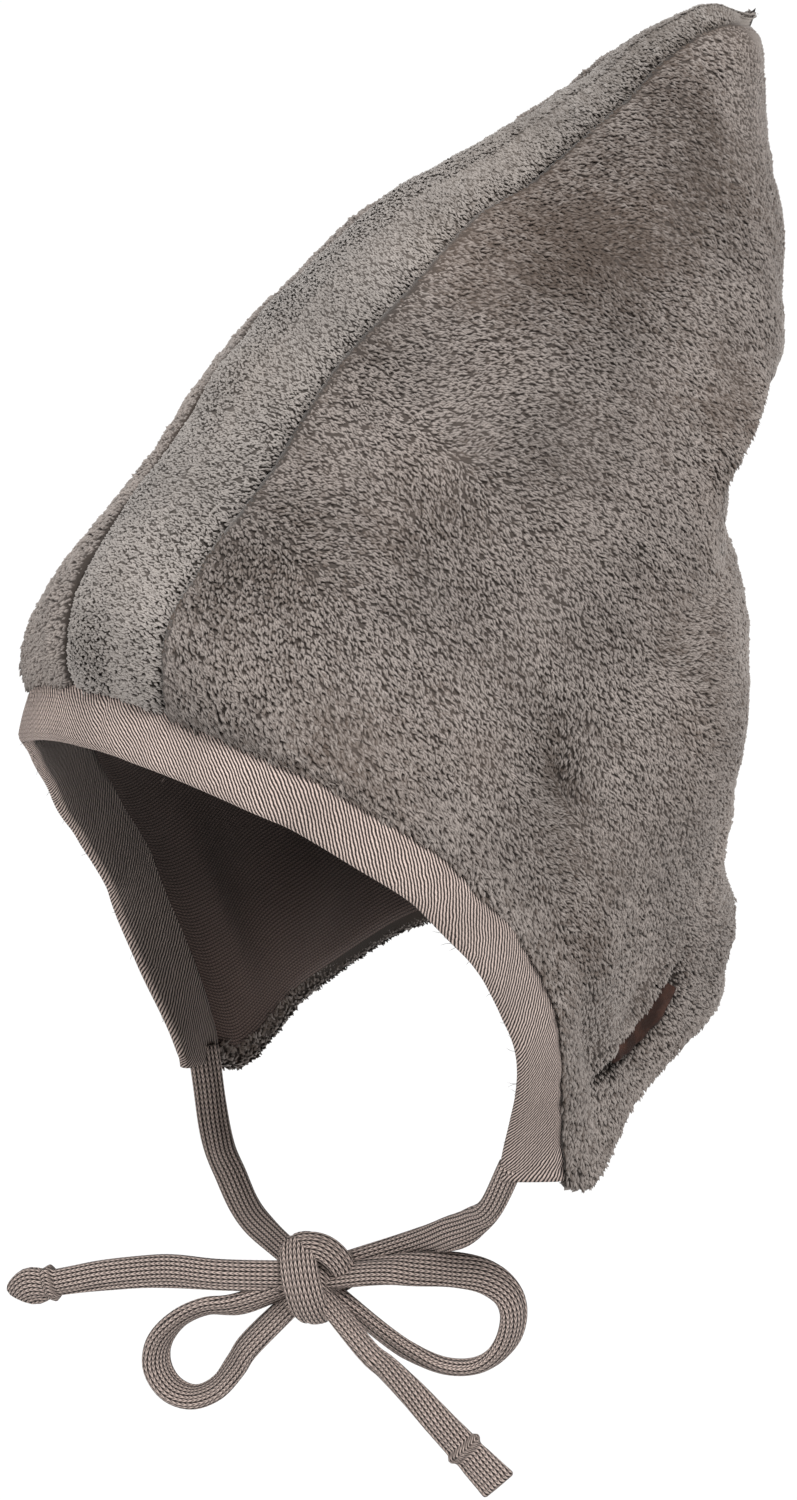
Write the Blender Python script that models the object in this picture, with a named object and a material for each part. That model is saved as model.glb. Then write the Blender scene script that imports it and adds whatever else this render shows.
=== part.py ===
"""A baby's pixie bonnet: plush panels, a thin lining, a face band, strings tied in a bow and a label.

Metres, +Z up, the face opening towards -Y and the wearer's left at +X. The origin is on the lining
under the ridge, where the crown of the head bears.
"""

import math

import bmesh
import bpy
import numpy as np
from mathutils import Vector

# Hood, in metres, and the crown's share of the way back along the ridge
HOOD_WIDTH = 0.149
PEAK_REACH = 0.198
PEAK_RISE = 0.136
FLAP_REACH = 0.083
FLAP_DROP = 0.117
NAPE_REACH = 0.162
NAPE_DROP = 0.084
CROWN_WAY = 0.38

# Layers and panels
PLUSH_THICKNESS = 0.003
LINING_THICKNESS = 0.001
LAYER_GAP = 0.0005
SEAM_GAP = 0.0008
THIN_WITHIN = 0.014
GUSSET_WIDTH = 0.036
NAP_DENT = 0.005

# Face band
BAND_WIDTH = 0.014
BAND_STEP = 0.03
BAND_HOLD = 0.5
BAND_LEAN = 0.4
BAND_LEAN_REACH = 0.35
BAND_SPREAD = (0.30, -0.25)
BAND_SPREAD_AT = 0.35
BAND_SPREAD_REACH = 0.25
BAND_TUCK = 0.4
BAND_TUCK_FROM = 0.8
BAND_FLARE = 0.1
BAND_FLARE_FROM = 0.86
BAND_SINK = 0.0005
BAND_FLAT_SHARE = 0.50
BAND_BEVEL_SHARE = 0.88

# Label
LABEL_WIDTH = 0.0065
LABEL_THICKNESS = 0.0012
LABEL_CLEARANCE = 0.0007

# Strings and bow
STRING_DIAMETER = 0.006
BOW_TURN = math.radians(32)
KNOT_BACK = 0.060
KNOT_DROP = 0.152
KNOT_WIDTH = 0.019
KNOT_DEPTH = 0.017
KNOT_HEIGHT = 0.023
END_KNOT_LENGTH = 0.013
END_KNOT_WIDTH = 0.0095
END_KNOT_THICKNESS = 0.0055
TOUCH_GAP = 0.0004

# The ridge from the forehead to the peak: shares of the peak's reach and rise
RIDGE = (
    # back, up
    (0.000, 0.000),
    (-0.012, 0.070),
    (-0.004, 0.160),
    (0.035, 0.250),
    (0.110, 0.360),
    (0.160, 0.430),
    (0.205, 0.510),
    (0.285, 0.610),
    (0.350, 0.670),
    (0.460, 0.765),
    (0.530, 0.800),
    (0.615, 0.840),
    (0.740, 0.910),
    (0.810, 0.965),
    (0.880, 1.000),
    (0.945, 1.007),
    (1.000, 0.985),
)

# The face edge from the forehead to the flap's foot: shares of the flap's reach and drop
FACE_EDGE = (
    # back, down
    (0.000, 0.000),
    (0.030, 0.010),
    (0.145, 0.065),
    (0.240, 0.107),
    (0.365, 0.177),
    (0.510, 0.262),
    (0.610, 0.348),
    (0.710, 0.430),
    (0.830, 0.565),
    (0.905, 0.700),
    (0.955, 0.850),
    (1.000, 1.000),
)

# The neck edge from the flap's foot to the nape: shares of the way back and the way up
NECK_EDGE = (
    # back, up
    (0.000, 0.000),
    (0.085, -0.045),
    (0.150, 0.035),
    (0.225, 0.210),
    (0.295, 0.385),
    (0.400, 0.530),
    (0.565, 0.720),
    (0.735, 0.855),
    (0.885, 0.955),
    (1.000, 1.000),
)

# The back from the peak to the nape: shares of the peak's reach, and of the way down
BACK = (
    # reach, down
    (1.000, 0.010),
    (1.003, 0.056),
    (1.005, 0.120),
    (1.000, 0.240),
    (0.985, 0.304),
    (0.960, 0.363),
    (0.895, 0.420),
    (0.830, 0.468),
    (0.807, 0.498),
    (0.818, 0.540),
    (0.822, 0.600),
    (0.812, 0.700),
    (0.800, 0.800),
    (0.800, 0.900),
    (0.818, 1.000),
)

# Arches from the face to the back: shares of the way back, the half width and the arch's height
ARCHES = (
    # way, ridge_width, ridge_drop, side_drop
    (0.000, 0.480, 0.150, 0.550),
    (0.120, 0.420, 0.170, 0.580),
    (0.250, 0.360, 0.180, 0.600),
    (0.500, 0.320, 0.150, 0.640),
    (0.750, 0.260, 0.100, 0.700),
    (1.000, 0.120, 0.050, 0.750),
)
BACK_ROUND_START = 0.42
BACK_ROUND_POWER = 2.6
FLAP_TUCK = 0.12
NECK_TUCK = 0.10

# The gusset's half width on the way back: shares of the gusset's half width
GUSSET = (
    # way, half_width
    (0.00, 0.90),
    (0.15, 1.00),
    (0.45, 1.00),
    (0.65, 0.78),
    (0.80, 0.52),
    (1.00, 0.26),
)
GUSSET_END = 0.995

# Dents and swells of a side: places and reaches as shares, depths as shares of the deepest dent
DENTS = (
    # way, down, way_reach, down_reach, slant, depth
    (0.68, 0.075, 0.045, 0.080, 0.6, 0.45),
    (0.82, 0.300, 0.090, 0.050, 0.0, -0.35),
    (0.90, 0.430, 0.130, 0.040, 0.3, 1.00),
    (0.27, 0.500, 0.040, 0.080, -0.4, 0.55),
    (0.45, 0.330, 0.120, 0.100, 0.0, -0.35),
    (0.16, 0.800, 0.050, 0.110, 0.2, 0.60),
    (0.55, 0.700, 0.090, 0.080, 0.2, -0.30),
    (0.42, 0.900, 0.120, 0.050, -0.6, 0.45),
    (0.08, 0.160, 0.070, 0.050, 0.3, 0.35),
    (0.05, 0.150, 0.070, 0.140, 0.0, -0.40),
    (0.86, 0.925, 0.170, 0.050, 0.0, -0.80),
)

# Sections of the label, from its upper end to its lower one, as shares of the side's surface
LABEL = (
    # way, down
    (0.538, 0.917),
    (0.500, 0.927),
    (0.440, 0.932),
    (0.370, 0.930),
    (0.315, 0.921),
    (0.264, 0.909),
)

# Route points of the strings between foot and knot: metres right, back and up from the forehead
TIE_LEFT = (
    (0.0510, 0.0715, -0.1240),
    (0.0430, 0.0735, -0.1300),
    (0.0340, 0.0745, -0.1355),
    (0.0180, 0.0755, -0.1425),
)
TIE_RIGHT = (
    (-0.0560, 0.0770, -0.1330),
    (-0.0450, 0.0725, -0.1400),
    (-0.0300, 0.0665, -0.1460),
)
TIE_LEFT_FOOT = 0.78
TIE_RIGHT_FOOT = 0.30

# Route points of the bow, in metres across, forward and up from the knot
LOOP_RIGHT = (
    (-0.0170, 0.0025, -0.0072),
    (-0.0255, 0.0030, -0.0086),
    (-0.0325, 0.0030, -0.0125),
    (-0.0372, 0.0025, -0.0185),
    (-0.0380, 0.0020, -0.0250),
    (-0.0350, 0.0010, -0.0306),
    (-0.0295, 0.0000, -0.0326),
    (-0.0235, 0.0000, -0.0295),
    (-0.0190, 0.0000, -0.0235),
    (-0.0148, 0.0008, -0.0172),
)
LOOP_LEFT = (
    (0.0180, 0.0012, 0.0040),
    (0.0265, 0.0008, 0.0050),
    (0.0350, 0.0000, 0.0055),
    (0.0425, 0.0000, 0.0045),
    (0.0475, -0.0005, 0.0010),
    (0.0492, -0.0010, -0.0040),
    (0.0478, -0.0018, -0.0105),
    (0.0440, -0.0024, -0.0158),
    (0.0385, -0.0030, -0.0190),
    (0.0315, -0.0030, -0.0195),
    (0.0240, -0.0030, -0.0172),
    (0.0175, -0.0028, -0.0135),
)
END_RIGHT = (
    (-0.0200, 0.0055, 0.0005),
    (-0.0350, 0.0040, -0.0005),
    (-0.0500, 0.0025, -0.0034),
    (-0.0640, 0.0010, -0.0072),
)
END_LEFT = (
    (0.0150, 0.0062, -0.0140),
    (0.0200, 0.0050, -0.0187),
    (0.0260, 0.0036, -0.0250),
    (0.0318, 0.0028, -0.0313),
    (0.0376, 0.0020, -0.0374),
)

# Where each string meets the knot: across, forward and up, as a direction
KNOT_SIDES = {
    "tie_left": (0.80, -0.45, 0.50),
    "tie_right": (-0.70, -0.60, 0.50),
    "loop_left_upper": (0.92, 0.20, 0.22),
    "loop_left_lower": (0.80, -0.35, -0.60),
    "loop_right_upper": (-0.90, 0.10, -0.30),
    "loop_right_lower": (-0.55, 0.20, -1.00),
    "end_left": (0.60, 0.50, -0.75),
    "end_right": (-0.80, 0.60, 0.30),
}

# Mesh density
CURVE_POINTS = 240
WAY_ROWS = 22
SIDE_COLUMNS = 18
GUSSET_COLUMNS = 3
LABEL_ROWS = 9
STRING_STEP = 0.009

COLOURS = {
    # red, green, blue, roughness
    "plush": (0.215, 0.190, 0.170, 0.95),
    "gusset": (0.250, 0.225, 0.205, 0.95),
    "lining": (0.155, 0.125, 0.110, 0.90),
    "jersey": (0.255, 0.215, 0.195, 0.85),
    "leather": (0.085, 0.055, 0.045, 0.60),
}


def smooth_line(rows, count=CURVE_POINTS):
    """Evenly spaced points on a smooth curve through the rows."""
    rows = np.asarray(rows, float)
    ends = np.vstack([2 * rows[0] - rows[1], rows, 2 * rows[-1] - rows[-2]])
    share = np.linspace(0, 1, 24, endpoint=False)[:, None]
    dense = []
    for a, b, c, d in zip(ends, ends[1:], ends[2:], ends[3:]):
        dense.append(
            0.5
            * (
                2 * b
                + (c - a) * share
                + (2 * a - 5 * b + 4 * c - d) * share**2
                + (3 * b - a - 3 * c + d) * share**3
            )
        )
    dense = np.vstack([*dense, rows[-1:]])
    return evenly(dense, np.linspace(0, 1, count))


def evenly(points, shares):
    """Points at these shares of a line's length."""
    steps = np.linalg.norm(np.diff(points, axis=0), axis=1)
    length = np.concatenate([[0], np.cumsum(steps)])
    at = np.asarray(shares) * length[-1]
    return np.stack([np.interp(at, length, column) for column in points.T], axis=-1)


def ease(value):
    """A smooth step from 0 to 1."""
    value = np.clip(value, 0, 1)
    return value * value * (3 - 2 * value)


def unit(vectors):
    """The same vectors, each one long."""
    return vectors / np.linalg.norm(vectors, axis=-1)[..., None]


def column(table, place, name_at):
    """A table's column read at a share of its first one."""
    rows = np.asarray(table)
    return np.interp(place, rows[:, 0], rows[:, name_at])


def inset(line, depth):
    """A side-view line moved towards the hollow, which lies on its right."""
    along = np.gradient(line, axis=0)
    along /= np.linalg.norm(along, axis=1)[:, None]
    return line + depth * np.stack([along[:, 1], -along[:, 0]], axis=1)


class Hood:
    """The hood's surface at one depth below the plush."""

    def __init__(self, depth=0.0):
        self.depth = depth
        ridge = smooth_line(np.array(RIDGE) * (PEAK_REACH, PEAK_RISE))
        face = smooth_line(np.array(FACE_EDGE) * (FLAP_REACH, -FLAP_DROP))
        foot = np.array((FLAP_REACH, -FLAP_DROP))
        nape = np.array((NAPE_REACH, -NAPE_DROP))
        neck = smooth_line(foot + np.array(NECK_EDGE) * (nape - foot))
        fall = PEAK_RISE + NAPE_DROP
        back = np.array(BACK) * (PEAK_REACH, -fall) + (0, PEAK_RISE)
        back[0], back[-1] = ridge[-1], nape
        back = smooth_line(back)
        if depth:
            ridge_in, back_in = inset(ridge, depth), inset(back, depth)
            corner = self.corner(ridge, back, depth)
            share = np.linspace(0, 1, CURVE_POINTS)[:, None]
            ridge_in += share**12 * (corner - ridge_in[-1])
            back_in += (1 - share) ** 12 * (corner - back_in[0])
            face = face + (1 - share) * (ridge_in[0] - ridge[0])
            neck = neck + share * (back_in[-1] - back[-1])
            ridge, back = ridge_in, back_in
        self.ridge, self.face, self.neck, self.back = ridge, face, neck, back

    @staticmethod
    def corner(ridge, back, depth):
        """The peak's corner, moved in from both its edges."""
        first = ridge[-1] - ridge[-8]
        second = back[7] - back[0]
        first, second = first / np.linalg.norm(first), second / np.linalg.norm(second)
        inward = second - first
        half = math.acos(np.clip(-first @ second, -1, 1)) / 2
        return ridge[-1] + depth / math.sin(half) * inward / np.linalg.norm(inward)

    def along(self, line, share):
        """A point of an edge line."""
        at = np.asarray(share) * (CURVE_POINTS - 1)
        spots = np.arange(CURVE_POINTS)
        return np.stack([np.interp(at, spots, line[:, i]) for i in (0, 1)], axis=-1)

    def bare_points(self, way, down):
        """Points of the smooth surface at shares of the way back and down, on the wearer's left."""
        way, down = np.broadcast_arrays(np.asarray(way, float), np.asarray(down, float))
        s, t = way[..., None], down[..., None]
        side = (
            (1 - t) * self.along(self.ridge, way)
            + t * self.along(self.neck, way)
            + (1 - s) * self.along(self.face, down)
            + s * self.along(self.back, down)
            - (1 - s) * (1 - t) * self.ridge[0]
            - s * (1 - t) * self.ridge[-1]
            - (1 - s) * t * self.neck[0]
            - s * t * self.neck[-1]
        )
        return np.concatenate([self.half_width(way, down)[..., None], side], axis=-1)

    def half_width(self, way, down):
        """How far the side stands from the middle plane."""
        ridge_width = column(ARCHES, way, 1)
        ridge_drop = column(ARCHES, way, 2)
        side_drop = column(ARCHES, way, 3)
        dome = np.sqrt(1 - (1 - np.clip(down / ridge_drop, 0, 1)) ** 2)
        flare = np.sin(math.pi / 2 * np.clip(down / side_drop, 0, 1))
        tuck = 1 - (FLAP_TUCK + NECK_TUCK * ease(way / 0.6)) * ease((down - 0.65) / 0.35)
        rounding = np.clip((way - BACK_ROUND_START) / (1 - BACK_ROUND_START), 0, 1)
        rounding = (1 - rounding**BACK_ROUND_POWER) ** (1 / BACK_ROUND_POWER)
        profile = ridge_width * dome + (1 - ridge_width) * flare
        outer = HOOD_WIDTH / 2 * tuck * rounding * profile
        return outer - self.depth * ease(outer / THIN_WITHIN)

    def points(self, way, down):
        """Points of the surface with its dents and swells."""
        return self.bare_points(way, down) + relief(way, down)[..., None] * outward(way, down)


def outward(way, down):
    """The plush side's unit normals."""
    way, down = np.broadcast_arrays(np.asarray(way, float), np.asarray(down, float))
    step = 0.004
    back = PLUSH.bare_points(np.clip(way + step, 0, 1), down)
    back -= PLUSH.bare_points(np.clip(way - step, 0, 1), down)
    fall = PLUSH.bare_points(way, np.clip(down + step, 0, 1))
    fall -= PLUSH.bare_points(way, np.clip(down - step, 0, 1))
    normal = np.cross(fall, back)
    return normal / np.maximum(np.linalg.norm(normal, axis=-1)[..., None], 1e-12)


def relief(way, down):
    """How far dents and swells move the side, outwards positive."""
    way, down = np.broadcast_arrays(np.asarray(way, float), np.asarray(down, float))
    height = np.zeros(way.shape)
    for at_way, at_down, way_reach, down_reach, slant, depth in DENTS:
        across = (way - at_way - slant * (down - at_down)) / way_reach
        along = (down - at_down) / down_reach
        height -= depth * NAP_DENT * np.exp(-(across**2) - along**2)
    return height * ease((1 - way) / 0.08) * ease(down / 0.04) * ease((way + 0.02) / 0.06)


def even_ways(count):
    """Shares of the way back, at even steps along the middle of the side."""
    dense = np.linspace(0, 1, 600)
    line = PLUSH.bare_points(dense, 0.45)
    length = np.concatenate([[0], np.cumsum(np.linalg.norm(np.diff(line, axis=0), axis=1))])
    return np.interp(np.linspace(0, length[-1], count), length, dense)


def gusset_half(way):
    """The gusset's half width, measured along the arch."""
    return GUSSET_WIDTH / 2 * column(GUSSET, way, 1)


def arch_shares(way, first, last, count):
    """Shares of the way down at even steps between two lengths from the ridge, or to the neck."""
    dense = np.linspace(0, 1, 600) ** 1.5
    line = PLUSH.bare_points(way, dense)
    length = np.concatenate([[0], np.cumsum(np.linalg.norm(np.diff(line, axis=0), axis=1))])
    last = length[-1] if last is None else last
    return np.interp(np.linspace(first, last, count), length, dense)


def mirrored(points):
    """The same points on the wearer's right."""
    return points * (-1, 1, 1)


def placed(points):
    """Points of the forehead's frame in the part's own frame, whose origin is the crown."""
    return np.asarray(points) - LINING_IN.points(CROWN_WAY, 0)


def finish(obj, colour):
    """Gives an object its own material and smooth shading, and puts it with the other parts."""
    red, green, blue, roughness = COLOURS[colour]
    material = bpy.data.materials.new(obj.name)
    material.use_nodes = True
    shader = material.node_tree.nodes["Principled BSDF"]
    shader.inputs["Base Color"].default_value = (red, green, blue, 1)
    shader.inputs["Roughness"].default_value = roughness
    shader.inputs["Metallic"].default_value = 0
    obj.data.materials.append(material)
    if obj.type == "MESH":
        obj.data.shade_smooth()
    BONNET.objects.link(obj)
    return obj


def solid(name, verts, faces, colour):
    """A closed solid from its corners and faces, turned to face outwards."""
    mesh = bpy.data.meshes.new(name)
    mesh.from_pydata([tuple(vert) for vert in placed(verts)], [], faces)
    shape = bmesh.new()
    shape.from_mesh(mesh)
    if shape.calc_volume(signed=True) < 0:
        bmesh.ops.reverse_faces(shape, faces=shape.faces)
    shape.to_mesh(mesh)
    shape.free()
    return finish(bpy.data.objects.new(name, mesh), colour)


def loft_shell(name, outer, inner, colour):
    """A wall lofted between the sections of its outer and inner side.

    The quads are cut the same way in every layer, so that neighbouring layers stay parallel.
    """
    rows, columns = outer.shape[:2]
    verts = np.concatenate([outer.reshape(-1, 3), inner.reshape(-1, 3)])
    size = rows * columns

    def spot(row, col, layer):
        return layer * size + row * columns + col

    faces = []
    for row in range(rows - 1):
        for col in range(columns - 1):
            ring = [(row, col), (row, col + 1), (row + 1, col + 1), (row + 1, col)]
            if outer[row, col, 0] + outer[row, col + 1, 0] < 0:
                ring = ring[1:] + ring[:1]
            one, two, three, four = [spot(a, b, 0) for a, b in ring]
            faces += [[one, two, three], [one, three, four]]
            one, two, three, four = [spot(a, b, 1) for a, b in ring]
            faces += [[three, two, one], [four, three, one]]
    rim = [(0, col) for col in range(columns)]
    rim += [(row, columns - 1) for row in range(1, rows)]
    rim += [(rows - 1, col) for col in range(columns - 2, -1, -1)]
    rim += [(row, 0) for row in range(rows - 2, 0, -1)]
    for one, two in zip(rim, rim[1:] + rim[:1]):
        faces.append([spot(*two, 0), spot(*one, 0), spot(*one, 1), spot(*two, 1)])
    return solid(name, verts, faces, colour)


def loft_bar(name, sections, colour):
    """A bar lofted through closed sections with the same number of corners."""
    count, corners = sections.shape[:2]
    faces = [list(range(corners))[::-1], [(count - 1) * corners + i for i in range(corners)]]
    for row in range(count - 1):
        for i in range(corners):
            j = (i + 1) % corners
            near, far = row * corners, (row + 1) * corners
            faces.append([near + i, near + j, far + j, far + i])
    return solid(name, sections.reshape(-1, 3), faces, colour)


def make_side_panels():
    """The plush side panels with their ear flaps."""
    ways = even_ways(WAY_ROWS)
    downs = np.array(
        [arch_shares(way, gusset_half(way) + SEAM_GAP, None, SIDE_COLUMNS) for way in ways]
    )
    layers = []
    for layer in (PLUSH, BACKING):
        grid = layer.points(ways[:, None], downs)
        grid[..., 0] = np.maximum(grid[..., 0], SEAM_GAP / 2)
        layers.append(grid)
    loft_shell("side_panel_left", *layers, "plush")
    loft_shell("side_panel_right", *[mirrored(grid)[:, ::-1] for grid in layers], "plush")


def make_centre_panel():
    """The plush gusset from the forehead over the ridge to the peak."""
    ways = even_ways(WAY_ROWS)
    ways[-1] = GUSSET_END
    downs = np.array([arch_shares(way, 0, gusset_half(way), GUSSET_COLUMNS + 1) for way in ways])
    layers = []
    for layer in (PLUSH, BACKING):
        half = layer.points(ways[:, None], downs)
        layers.append(np.concatenate([mirrored(half[:, :0:-1]), half], axis=1))
    loft_shell("centre_panel", *layers, "gusset")


def whole_arch(way):
    """Shares of the way down that the lining and the band use on one side."""
    half = gusset_half(way)
    gusset = arch_shares(way, 0, half, GUSSET_COLUMNS + 1)
    side = arch_shares(way, half + SEAM_GAP, None, SIDE_COLUMNS)
    return np.concatenate([gusset, side[1:]])


def make_lining():
    """The lining inside the plush, one sheet from neck edge to neck edge."""
    ways = even_ways(WAY_ROWS)
    downs = np.array([whole_arch(way) for way in ways])
    layers = []
    for layer in (LINING_OUT, LINING_IN):
        half = layer.points(ways[:, None], downs)
        half[:, 1:, 0] = np.maximum(half[:, 1:, 0], SEAM_GAP / 2)
        layers.append(np.concatenate([mirrored(half[:, :0:-1]), half], axis=1))
    loft_shell("lining", *layers, "lining")


def band_frames():
    """Along the face edge of one side: the edge, the way into the wall and the fold's way forward."""
    downs = whole_arch(0.0)
    edge = PLUSH.points(0.0, downs)
    inward = unit(LINING_IN.points(0.0, downs) - edge)
    along = unit(np.gradient(edge, axis=0))
    along[0] = (1, 0, 0)
    forward = edge - PLUSH.points(BAND_STEP, downs)
    forward -= (forward * along).sum(axis=1)[:, None] * along
    forward = unit(forward - BAND_HOLD * (forward * inward).sum(axis=1)[:, None] * inward)
    forward[:, 1] -= BAND_LEAN * (1 - ease(downs / BAND_LEAN_REACH))
    forward[:, 0] -= BAND_TUCK * ease((downs - BAND_TUCK_FROM) / (1 - BAND_TUCK_FROM))
    bell = np.exp(-(((downs - BAND_SPREAD_AT) / BAND_SPREAD_REACH) ** 2))
    forward[:, :2] += np.array(BAND_SPREAD) * bell[:, None]
    forward = unit(forward)
    forward[0, 0] = inward[0, 0] = 0
    flare = 1 + BAND_FLARE * ease((downs - BAND_FLARE_FROM) / (1 - BAND_FLARE_FROM))
    return edge, inward, forward * flare[:, None]


def band_sections():
    """The folded binding's sections on one side, from the forehead to the foot."""
    edge, inward, forward = band_frames()
    near = BAND_SINK
    far = PLUSH_THICKNESS + LAYER_GAP + LINING_THICKNESS - BAND_SINK / 2
    bevel = (far - near) / 6
    start = SEAM_GAP / BAND_WIDTH
    profile = (
        # share of the width, depth in the wall
        (start, near),
        (BAND_FLAT_SHARE, near),
        (BAND_BEVEL_SHARE, near + bevel),
        (1.00, (near + far) / 2),
        (BAND_BEVEL_SHARE, far - bevel),
        (BAND_FLAT_SHARE, far),
        (start, far),
    )
    corners = [edge + share * BAND_WIDTH * forward + depth * inward for share, depth in profile]
    return np.stack(corners, axis=1)


def make_face_band():
    """The jersey binding folded round the face opening."""
    half = band_sections()
    loft_bar("face_band", np.concatenate([mirrored(half[:0:-1]), half]), "jersey")


def make_label():
    """The plain leather tab behind the left ear flap."""
    rows = smooth_line(LABEL, LABEL_ROWS)
    centre = PLUSH.points(rows[:, 0], rows[:, 1])
    normal = outward(rows[:, 0], rows[:, 1])
    along = np.gradient(centre, axis=0)
    across = np.cross(normal, along)
    across *= LABEL_WIDTH / 2 / np.linalg.norm(across, axis=1)[:, None]
    low = centre + LABEL_CLEARANCE * normal
    high = low + LABEL_THICKNESS * normal
    sections = np.stack([low - across, low + across, high + across, high - across], axis=1)
    loft_bar("side_label", sections, "leather")


def bow_place(across, forward, up):
    """A place given from the knot, in the forehead's frame."""
    turn = (math.cos(BOW_TURN), math.sin(BOW_TURN))
    return np.array(
        (
            across * turn[0] + forward * turn[1],
            KNOT_BACK + across * turn[1] - forward * turn[0],
            up - KNOT_DROP,
        )
    )


def knot_side(name, clearance):
    """A place this far off the knot, where the named string meets it."""
    ray = np.array(KNOT_SIDES[name])
    ray /= np.linalg.norm(ray)
    half = np.array((KNOT_WIDTH, KNOT_DEPTH, KNOT_HEIGHT)) / 2
    reach = 1 / np.linalg.norm(ray / half)
    return bow_place(*(ray * (reach + clearance)))


def string(name, route):
    """A round string on a smooth curve whose first and last stretch stay straight, and its points."""
    line = smooth_line(route, 400)
    first = np.argmin(np.linalg.norm(line - route[1], axis=1))
    last = np.argmin(np.linalg.norm(line - route[-2], axis=1))
    length = np.linalg.norm(np.diff(line[first : last + 1], axis=0), axis=1).sum()
    shares = np.linspace(0, 1, round(length / STRING_STEP) + 1)
    points = placed([route[0], *evenly(line[first : last + 1], shares), route[-1]])
    curve = bpy.data.curves.new(name, "CURVE")
    curve.dimensions = "3D"
    curve.bevel_depth = STRING_DIAMETER / 2
    curve.bevel_resolution = 3
    curve.use_fill_caps = True
    spline = curve.splines.new("POLY")
    spline.points.add(len(points) - 1)
    for place, point in zip(spline.points, points):
        place.co = (*point, 1)
    finish(bpy.data.objects.new(name, curve), "jersey")
    return points


def make_ties():
    """The two strings from the feet of the band to the knot."""
    sections = band_sections()
    _, inward, forward = band_frames()
    down = np.cross(forward[-1], inward[-1])
    down /= np.linalg.norm(down)
    down *= np.sign(down @ (sections[-1] - sections[-2]).mean(axis=0))
    back, front = sections[-1][[0, 6]].mean(axis=0), sections[-1][3]
    for name, side, route, foot in (
        ("tie_left", 1, TIE_LEFT, TIE_LEFT_FOOT),
        ("tie_right", -1, TIE_RIGHT, TIE_RIGHT_FOOT),
    ):
        start = back + foot * (front - back)
        first = [start + TOUCH_GAP * down, start + 0.004 * down]
        if side < 0:
            first = [mirrored(point) for point in first]
        ends = [knot_side(name, 0.005), knot_side(name, TOUCH_GAP)]
        string(name, [*first, *route, *ends])


def make_bow_loops():
    """The two loops of the bow."""
    for name, route in (("left", LOOP_LEFT), ("right", LOOP_RIGHT)):
        upper, lower = f"loop_{name}_upper", f"loop_{name}_lower"
        middle = [bow_place(*point) for point in route]
        first = [knot_side(upper, TOUCH_GAP), knot_side(upper, 0.004)]
        last = [knot_side(lower, 0.004), knot_side(lower, TOUCH_GAP)]
        string(f"bow_loop_{name}", [*first, *middle, *last])


def ball(name, size, centre, axis, colour):
    """A rounded body of this length, width and thickness, laid along an axis."""
    mesh = bpy.data.meshes.new(name)
    shape = bmesh.new()
    bmesh.ops.create_uvsphere(shape, u_segments=16, v_segments=10, radius=0.5)
    bmesh.ops.scale(shape, vec=size, verts=shape.verts)
    shape.to_mesh(mesh)
    shape.free()
    obj = bpy.data.objects.new(name, mesh)
    obj.location = placed(centre)
    obj.rotation_euler = Vector(axis).to_track_quat("X", "Z").to_euler()
    return finish(obj, colour)


def make_free_ends():
    """The free ends of the strings, each with its bound tip."""
    size = (END_KNOT_LENGTH, END_KNOT_WIDTH, END_KNOT_THICKNESS)
    for name, route in (("left", END_LEFT), ("right", END_RIGHT)):
        side = f"end_{name}"
        first = [knot_side(side, TOUCH_GAP), knot_side(side, 0.004)]
        points = string(f"tie_end_{name}", [*first, *[bow_place(*point) for point in route]])
        axis = points[-1] - points[-2]
        axis /= np.linalg.norm(axis)
        centre = points[-1] + (END_KNOT_LENGTH / 2 + TOUCH_GAP) * axis - placed((0, 0, 0))
        ball(f"end_knot_{name}", size, centre, axis, "jersey")


def make_knot():
    """The wrapped knot of the bow."""
    axis = bow_place(1, 0, 0) - bow_place(0, 0, 0)
    ball("bow_knot", (KNOT_WIDTH, KNOT_DEPTH, KNOT_HEIGHT), bow_place(0, 0, 0), axis, "jersey")


for old in list(bpy.data.objects):
    bpy.data.objects.remove(old, do_unlink=True)
BONNET = bpy.data.collections.new("pixie_bonnet")
bpy.context.scene.collection.children.link(BONNET)

PLUSH = Hood(0.0)
BACKING = Hood(PLUSH_THICKNESS)
LINING_OUT = Hood(PLUSH_THICKNESS + LAYER_GAP)
LINING_IN = Hood(PLUSH_THICKNESS + LAYER_GAP + LINING_THICKNESS)

make_side_panels()
make_centre_panel()
make_lining()
make_face_band()
make_label()
make_ties()
make_bow_loops()
make_free_ends()
make_knot()
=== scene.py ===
"""A baby's pixie bonnet: plush panels with their pile, a jersey lining, a bound face edge, a label and a bow.

Metres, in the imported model's frame: +Z up, the face opening towards -Y, the wearer's left at +X, and the
origin on the lining where the crown of the head bears. The hood's tables and the strings' routes repeat
those of the part's source, so that each piece lies where its solid lies.
"""

import logging
import math
from dataclasses import dataclass, field
from enum import Enum
from functools import cached_property

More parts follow.
